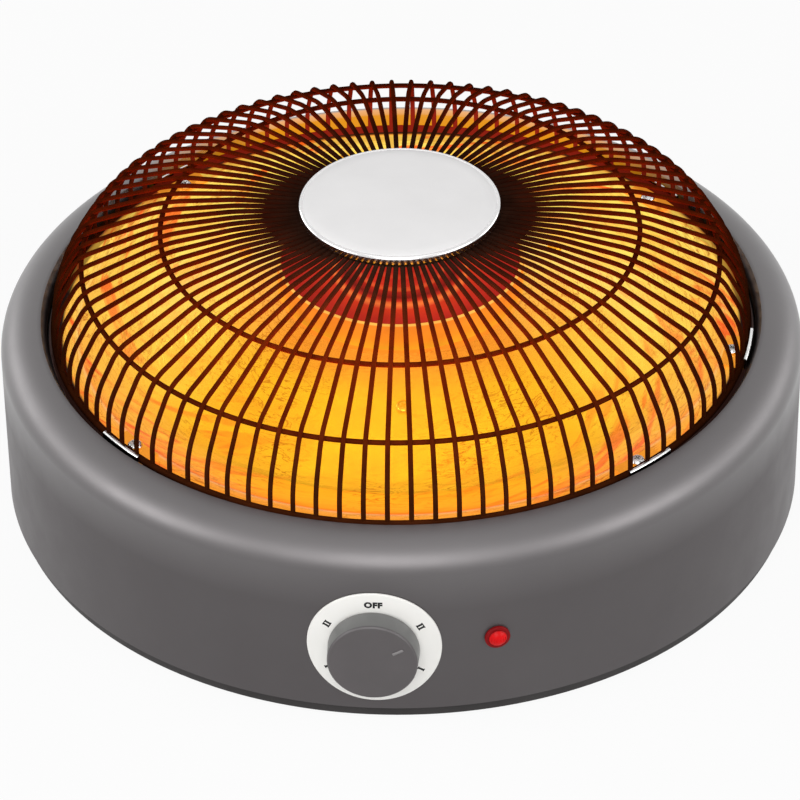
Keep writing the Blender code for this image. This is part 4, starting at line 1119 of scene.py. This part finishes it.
def make_clips():
    """Strips that stand on the ledge and hook over the base ring."""
    lip = BASE_RING_RADIUS + BASE_RING_WIRE + SEAT_GAP
    hook_z = GUARD_Z + BASE_RING_WIRE + SEAT_GAP
    corners = [
        (lip - 0.0125, CLIP_FOOT_Z, 0),
        (lip, CLIP_FOOT_Z, 0.0004),
        (lip, hook_z, 0.0003),
        (lip - 0.0008, hook_z, 0),
    ]
    span = CLIP_LENGTH / BASE_RING_RADIUS
    clip = turned_sheet(corners, CLIP_SHEET, 12, (0, 0, 1), span)
    places = [
        Matrix.Rotation(azimuth - math.pi / 2 - span / 2, 4, "Z") for azimuth in CLIP_AZIMUTHS
    ]
    show_each("ring_clip", clip, "clip_steel", "guard_clip", places)


# Hub and centre disc

def make_hub():
    for name, node, bottom in (
        ("hub_top_plate", "hub_plate", HUB_PLATE_Z),
        ("hub_under_plate", "hub_clamp_plate", CLAMP_PLATE_Z),
    ):
        top = bottom + SHEET
        corners = [
            (STUD_HOLE, top, 0),
            (HUB_RADIUS, top, 0.0004),
            (HUB_RADIUS, bottom, 0.0004),
            (STUD_HOLE, bottom, 0),
        ]
        show(name, turned(corners, MIDDLE_STEPS), "black_enamel", [node])
    low = HUB_PLATE_Z + SHEET + SEAT_GAP
    high = DISC_EDGE_Z + DISC_CROWN - SHEET - SEAT_GAP
    spacer = turned([
        (STUD_HOLE, high, 0),
        (0.007, high, 0.0003),
        (0.007, low, 0.0003),
        (STUD_HOLE, low, 0),
    ])
    show("round_spacer", spacer, "bright_screw_steel", ["disc_spacer"])
    nut_top = CLAMP_PLATE_Z - SEAT_GAP
    show("hub_nut", nut_shape(NUT_RADIUS, STUD_HOLE, nut_top - NUT_HEIGHT, nut_top),
         "bright_screw_steel", ["disc_nut"])


def make_disc():
    """A low dome with a rolled rim, set off by a fine groove."""
    groove = DISC_RADIUS - 0.0024
    dome_steps = 8
    corners = []
    for k in range(dome_steps + 1):
        share = k / dome_steps
        corners.append((groove * share, DISC_EDGE_Z + DISC_CROWN * (1 - share ** 2), 0))
    corners += [
        (groove + 0.0003, DISC_EDGE_Z - 0.0002, 0),
        (groove + 0.0006, DISC_EDGE_Z, 0.0002),
        (DISC_RADIUS, DISC_EDGE_Z, 0.0014),
        (DISC_RADIUS, DISC_EDGE_Z - DISC_EDGE_HEIGHT, 0),
    ]
    disc = turned_sheet(corners, SHEET, MIDDLE_STEPS, (0, 0, 1))
    show("satin_disc", disc, "satin_silver", ["centre_disc"])


# Switch, lamp and gland

def wrapped(shape, place):
    """Bends a flat shape that lies on the wall's front round the wall."""
    moved(shape, place)
    for vert in shape.verts:
        out = -vert.co.y
        vert.co.y = -math.sqrt(out ** 2 - vert.co.x ** 2)
    return shape


def sliced(shape):
    """Cuts a flat shape of the dial's size into upright strips, so that it can bend."""
    pitch = 0.0025
    count = int(BEZEL_RADIUS / pitch)
    for k in range(-count, count + 1):
        bmesh.ops.bisect_plane(
            shape, geom=shape.verts[:] + shape.edges[:] + shape.faces[:], dist=WELD,
            plane_co=(k * pitch, 0, 0), plane_no=(1, 0, 0),
        )
    return shape


def make_bezel():
    """The round dial plate, bent to the wall."""
    plate = bmesh.new()
    bmesh.ops.create_circle(plate, cap_ends=True, segments=120, radius=BEZEL_RADIUS)
    lift = BEZEL_FACE - BEZEL_INSIDE
    thicken(plate, lift)
    rim = [edge for edge in plate.edges if all(vert.co.z > lift / 2 for vert in edge.verts)]
    soften(plate, rim, 0.0004)
    sliced(plate)
    wrapped(plate, facing_out(0, BEZEL_INSIDE, SWITCH_RISE))
    show("dial_plate", plate, "dial_silver", ["switch_bezel"])


def letter_shape(letters, height, width, thickness, weight):
    """Flat bold lettering with its middle at the origin, a little raised."""
    text = bpy.data.curves.new("letters", "FONT")
    text.body = letters
    text.resolution_u = 4
    text.extrude = thickness
    text.offset = weight
    text.space_character = 1.12
    shape = taken_back(add_object("letters", text))
    bmesh.ops.remove_doubles(shape, verts=shape.verts, dist=WELD)
    lefts = [vert.co.x for vert in shape.verts]
    rises = [vert.co.y for vert in shape.verts]
    middle = ((max(lefts) + min(lefts)) / 2, (max(rises) + min(rises)) / 2)
    size = (width / (max(lefts) - min(lefts)), height / (max(rises) - min(rises)), 1)
    bmesh.ops.translate(shape, vec=(-middle[0], -middle[1], 0), verts=shape.verts)
    bmesh.ops.scale(shape, vec=size, verts=shape.verts)
    return shape


def numeral_shapes(strokes, raised):
    """Upright strokes between two cross bars, as one or two in Roman numerals."""
    pitch, stroke, tall, bar = 0.0017, 0.00105, 0.0033, 0.0005
    shapes = []
    for k in range(strokes):
        offset = (k - (strokes - 1) / 2) * pitch
        shapes.append(block((stroke, tall, raised * 2), (offset, MARK_PLACE, 0)))
    reach = 0.0016 + pitch * (strokes - 1)
    for end in (-1, 1):
        place = (0, MARK_PLACE + end * (tall / 2 - 0.0002), 0)
        shapes.append(block((reach, bar, raised * 1.8), place))
    return shapes


def make_marks():
    """OFF at the top of the dial, with two positions on either side."""
    raised = 0.00004
    word = letter_shape("OFF", 0.0035, 0.0085, raised, 0.065)
    shapes = [moved(word, Matrix.Translation((0, MARK_PLACE, 0)))]
    for angle, strokes in ((60, 2), (-60, 2), (120, 1), (-120, 1)):
        turn = Matrix.Rotation(math.radians(-angle), 4, "Z")
        shapes += [moved(shape, turn) for shape in numeral_shapes(strokes, raised)]
    marks = sliced(gathered(shapes))
    wrapped(marks, facing_out(0, BEZEL_FACE, SWITCH_RISE))
    show("dial_marks", marks, "mark_ink")


def make_knob():
    """A hollow cap with a socket for the shaft, and the raised pointer on its face."""
    place = facing_out(0, KNOB_BACK, SWITCH_RISE)
    wall = 0.0022
    ceiling = KNOB_DEPTH - wall
    hub, socket, hub_start = 0.006, 0.0033, 0.0039
    corners = [
        (0, KNOB_DEPTH, 0),
        (KNOB_RADIUS - 0.0012, KNOB_DEPTH, 0.0002),
        (KNOB_RADIUS - 0.0005, KNOB_DEPTH - 0.0007, 0.0002),
        (KNOB_RADIUS, 0, 0.0003),
        (KNOB_RADIUS - wall, 0, 0.0003),
        (KNOB_RADIUS - wall, ceiling, 0),
        (hub, ceiling, 0),
        (hub, hub_start, 0),
        (socket, hub_start, 0),
        (socket, ceiling - 0.0003, 0),
        (0, ceiling - 0.0003, 0),
    ]
    knob = turned(corners, MIDDLE_STEPS)
    show("turning_knob", knob, "knob_plastic", ["control_knob"], place, "knob")
    bar = block(POINTER_SIZE, (0, POINTER_PLACE, KNOB_DEPTH), 0.0003)
    turn = Matrix.Rotation(-POINTER_ANGLE, 4, "Z")
    show("knob_pointer", bar, "knob_plastic", (), place @ turn, "knob")


def make_lamp():
    """A domed lens with upright ribs, on a flat collar."""
    place = facing_out(LAMP_AZIMUTH, BODY_RADIUS, LAMP_RISE)
    flange_top = SEAT_GAP + 0.0012
    corners = [
        (0, flange_top + LENS_DOME_RISE, 0),
        (0.0026, flange_top + LENS_DOME_RISE - 0.0003, 0.003),
        (LENS_DOME_RADIUS, flange_top + 0.0004, 0.0005),
        (LENS_DOME_RADIUS, flange_top, 0),
        (LENS_RADIUS, flange_top, 0.0004),
        (LENS_RADIUS, SEAT_GAP, 0),
        (0, SEAT_GAP, 0),
    ]
    lens = turned(corners)
    pitch, depth = 0.0011, 0.0004
    grooves = []
    for k in range(-3, 4):
        groove = block((depth * 2, 0.012, depth * 2))
        moved(groove, Matrix.Rotation(math.pi / 4, 4, "Y"))
        lift = LENS_DOME_RISE - 0.0023 * (abs(k) * pitch / LENS_DOME_RADIUS) ** 2
        middle = (k * pitch, 0, flange_top + lift + depth)
        grooves.append(moved(groove, Matrix.Translation(middle)))
    show("red_lamp_lens", carved(lens, grooves), "lamp_lens", ["indicator_lens"], place)


def make_gland():
    place = facing_out(math.pi, BODY_RADIUS, GLAND_RISE)
    flange_top = SEAT_GAP + 0.0035
    inner_end, outer_end = GLAND_ENDS
    corners = [
        (GLAND_BORE, outer_end, 0.0004),
        (0.0062, outer_end, 0.0008),
        (GLAND_NECK, flange_top, 0.0006),
        (GLAND_FLANGE, flange_top, 0.0008),
        (GLAND_FLANGE, SEAT_GAP, 0),
        (GLAND_NECK, SEAT_GAP, 0),
        (GLAND_NECK, inner_end, 0),
        (GLAND_BORE, inner_end, 0),
    ]
    show("cord_bushing", turned(corners, 64), "dark_plastic", ["cord_gland"], place)


# Finishes for the solids that stay in view

def finish_nodes():
    table = {
        "bright_screw_steel": (
            "core_bridge", "core_stud", "stud_nut", "disc_stud", "switch_nut", "switch_shaft",
            "dish_leg_1", "dish_leg_2", "dish_leg_3",
        ),
        "fired_ceramic": ("ceramic_core",),
        "element_sheath": ("element_outer", "element_inner"),
        "dark_plastic": ("switch_body", "indicator_holder", "gland_nut", "thermal_cutout"),
        "pale_plastic": ("terminal_block",),
        "lead_sleeve": ("lead_low", "lead_high", "lead_return", "lead_feed"),
    }
    for finish, names in table.items():
        for name in names:
            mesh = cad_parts[name].data
            mesh.materials.clear()
            mesh.materials.append(finishes[finish])


# Studio

def make_floor():
    """Pale paper that nearly glows where it is seen, and shades softly elsewhere."""
    floor = bmesh.new()
    bmesh.ops.create_circle(floor, cap_ends=True, segments=96, radius=6)
    thing = add_object("floor", mesh_of("floor", floor))
    paper = bpy.data.materials.new("floor_paper")
    paper.use_nodes = True
    paper.node_tree.nodes.clear()
    diffuse = add_node(paper, "ShaderNodeBsdfDiffuse")
    diffuse.inputs["Color"].default_value = (0.6, 0.6, 0.6, 1)
    light = add_node(paper, "ShaderNodeEmission")
    light.inputs["Strength"].default_value = 1.0
    mix = add_node(paper, "ShaderNodeMixShader")
    wire_up(paper, times(paper, seen_rays(paper), 0.93), mix.inputs[0])
    wire_up(paper, diffuse.outputs[0], mix.inputs[1])
    wire_up(paper, light.outputs[0], mix.inputs[2])
    end = add_node(paper, "ShaderNodeOutputMaterial")
    wire_up(paper, mix.outputs[0], end.inputs["Surface"])
    thing.data.materials.append(paper)


def seen_rays(material):
    """One for rays that show the background, straight or in metal and glass."""
    path = add_node(material, "ShaderNodeLightPath")
    straight = path.outputs["Is Camera Ray"]
    mirrored = calculate(material, "MAXIMUM", straight, path.outputs["Is Glossy Ray"])
    return calculate(material, "MAXIMUM", mirrored, path.outputs["Is Transmission Ray"])


def make_world():
    world = bpy.data.worlds.new("studio")
    world.use_nodes = True
    bpy.context.scene.world = world
    sky = world.node_tree.nodes["Background"]
    sky.inputs["Color"].default_value = (1, 1, 1, 1)
    strength = spread(world, seen_rays(world), 0.15, 1.0, 0, 1)
    wire_up(world, strength, sky.inputs["Strength"])


def add_softbox(name, place, aim, size, power):
    lamp = bpy.data.lights.new(name, "AREA")
    lamp.shape = "RECTANGLE"
    lamp.size, lamp.size_y = size
    lamp.energy = power
    holder = add_object(name, lamp)
    holder.location = place
    holder.rotation_euler = (Vector(aim) - Vector(place)).to_track_quat("-Z", "Y").to_euler()


def make_lights():
    """Softboxes all round, a weak one overhead, and the heat's glow inside the guard."""
    middle = Vector((0, 0, 0.09))
    add_softbox("overhead_softbox", (0, -0.25, 1.6), (0, 0.05, 0), (1.0, 1.4), 2.5)
    for name, azimuth, rise, distance, size, power in (
        ("front_softbox", 0, 35, 2.9, (1.9, 1.9), 51),
        ("left_softbox", -68, 26, 2.6, (1.6, 1.2), 32),
        ("right_softbox", 68, 26, 2.6, (1.6, 1.2), 30),
        ("left_rear_softbox", -118, 16, 2.6, (1.6, 0.6), 15),
        ("right_rear_softbox", 118, 16, 2.6, (1.6, 0.6), 12),
    ):
        lift = math.radians(rise)
        reach = around(distance * math.cos(lift), math.radians(azimuth), distance * math.sin(lift))
        add_softbox(name, middle + reach, middle, size, power)
    glow = bpy.data.lights.new("heat_glow", "AREA")
    glow.shape = "DISK"
    glow.size = 0.3
    glow.color = (1.0, 0.22, 0.03)
    glow.energy = 2.0
    holder = add_object("heat_glow", glow)
    holder.location = (0, 0, FLANGE_Z + 0.002)
    holder.rotation_euler = (math.pi, 0, 0)
    holder.visible_camera = False
    holder.visible_glossy = False


def make_camera():
    """At the photograph's place, with its slight roll."""
    target = Vector((0, 0, GUARD_Z))
    distance, rise, side, lean = 2.1906, 0.60531, math.radians(4.19), -0.0125
    aim_drop, aim_shift = 0.04197, 0.0005
    back = Vector((
        math.sin(side) * math.cos(rise), -math.cos(side) * math.cos(rise), math.sin(rise)
    ))
    right = Vector((math.cos(side), math.sin(side), 0))
    up = back.cross(right)
    across = math.cos(lean) * right + math.sin(lean) * up
    upward = math.cos(lean) * up - math.sin(lean) * right
    place = target + back * distance
    aim = target - upward * aim_drop - across * aim_shift
    back = (place - aim).normalized()
    across = upward.cross(back).normalized()
    upward = back.cross(across)
    camera = bpy.data.cameras.new("camera")
    camera.lens = 202.4
    camera.sensor_width = 36
    camera.clip_end = 50
    holder = add_object("camera", camera)
    turn = Matrix((across, upward, back)).transposed().to_4x4()
    holder.matrix_world = Matrix.Translation(place) @ turn
    bpy.context.scene.camera = holder


make_plain_finishes()
make_paint_finish()
make_knob_finish()
make_disc_finish()
make_wire_finish()
make_clip_finish()
make_glow_painted_screw_finish()
make_dish_finish()
make_pan_finish()
make_lens_finish()
make_shell()
make_tray()
make_feet()
make_screws()
make_reflector()
make_pan()
make_guard()
make_clips()
make_hub()
make_disc()
make_bezel()
make_marks()
make_knob()
make_lamp()
make_gland()
finish_nodes()
make_floor()
make_world()
make_lights()
make_camera()
bpy.context.scene.view_settings.view_transform = "Standard"

bpy.context.view_layer.update()
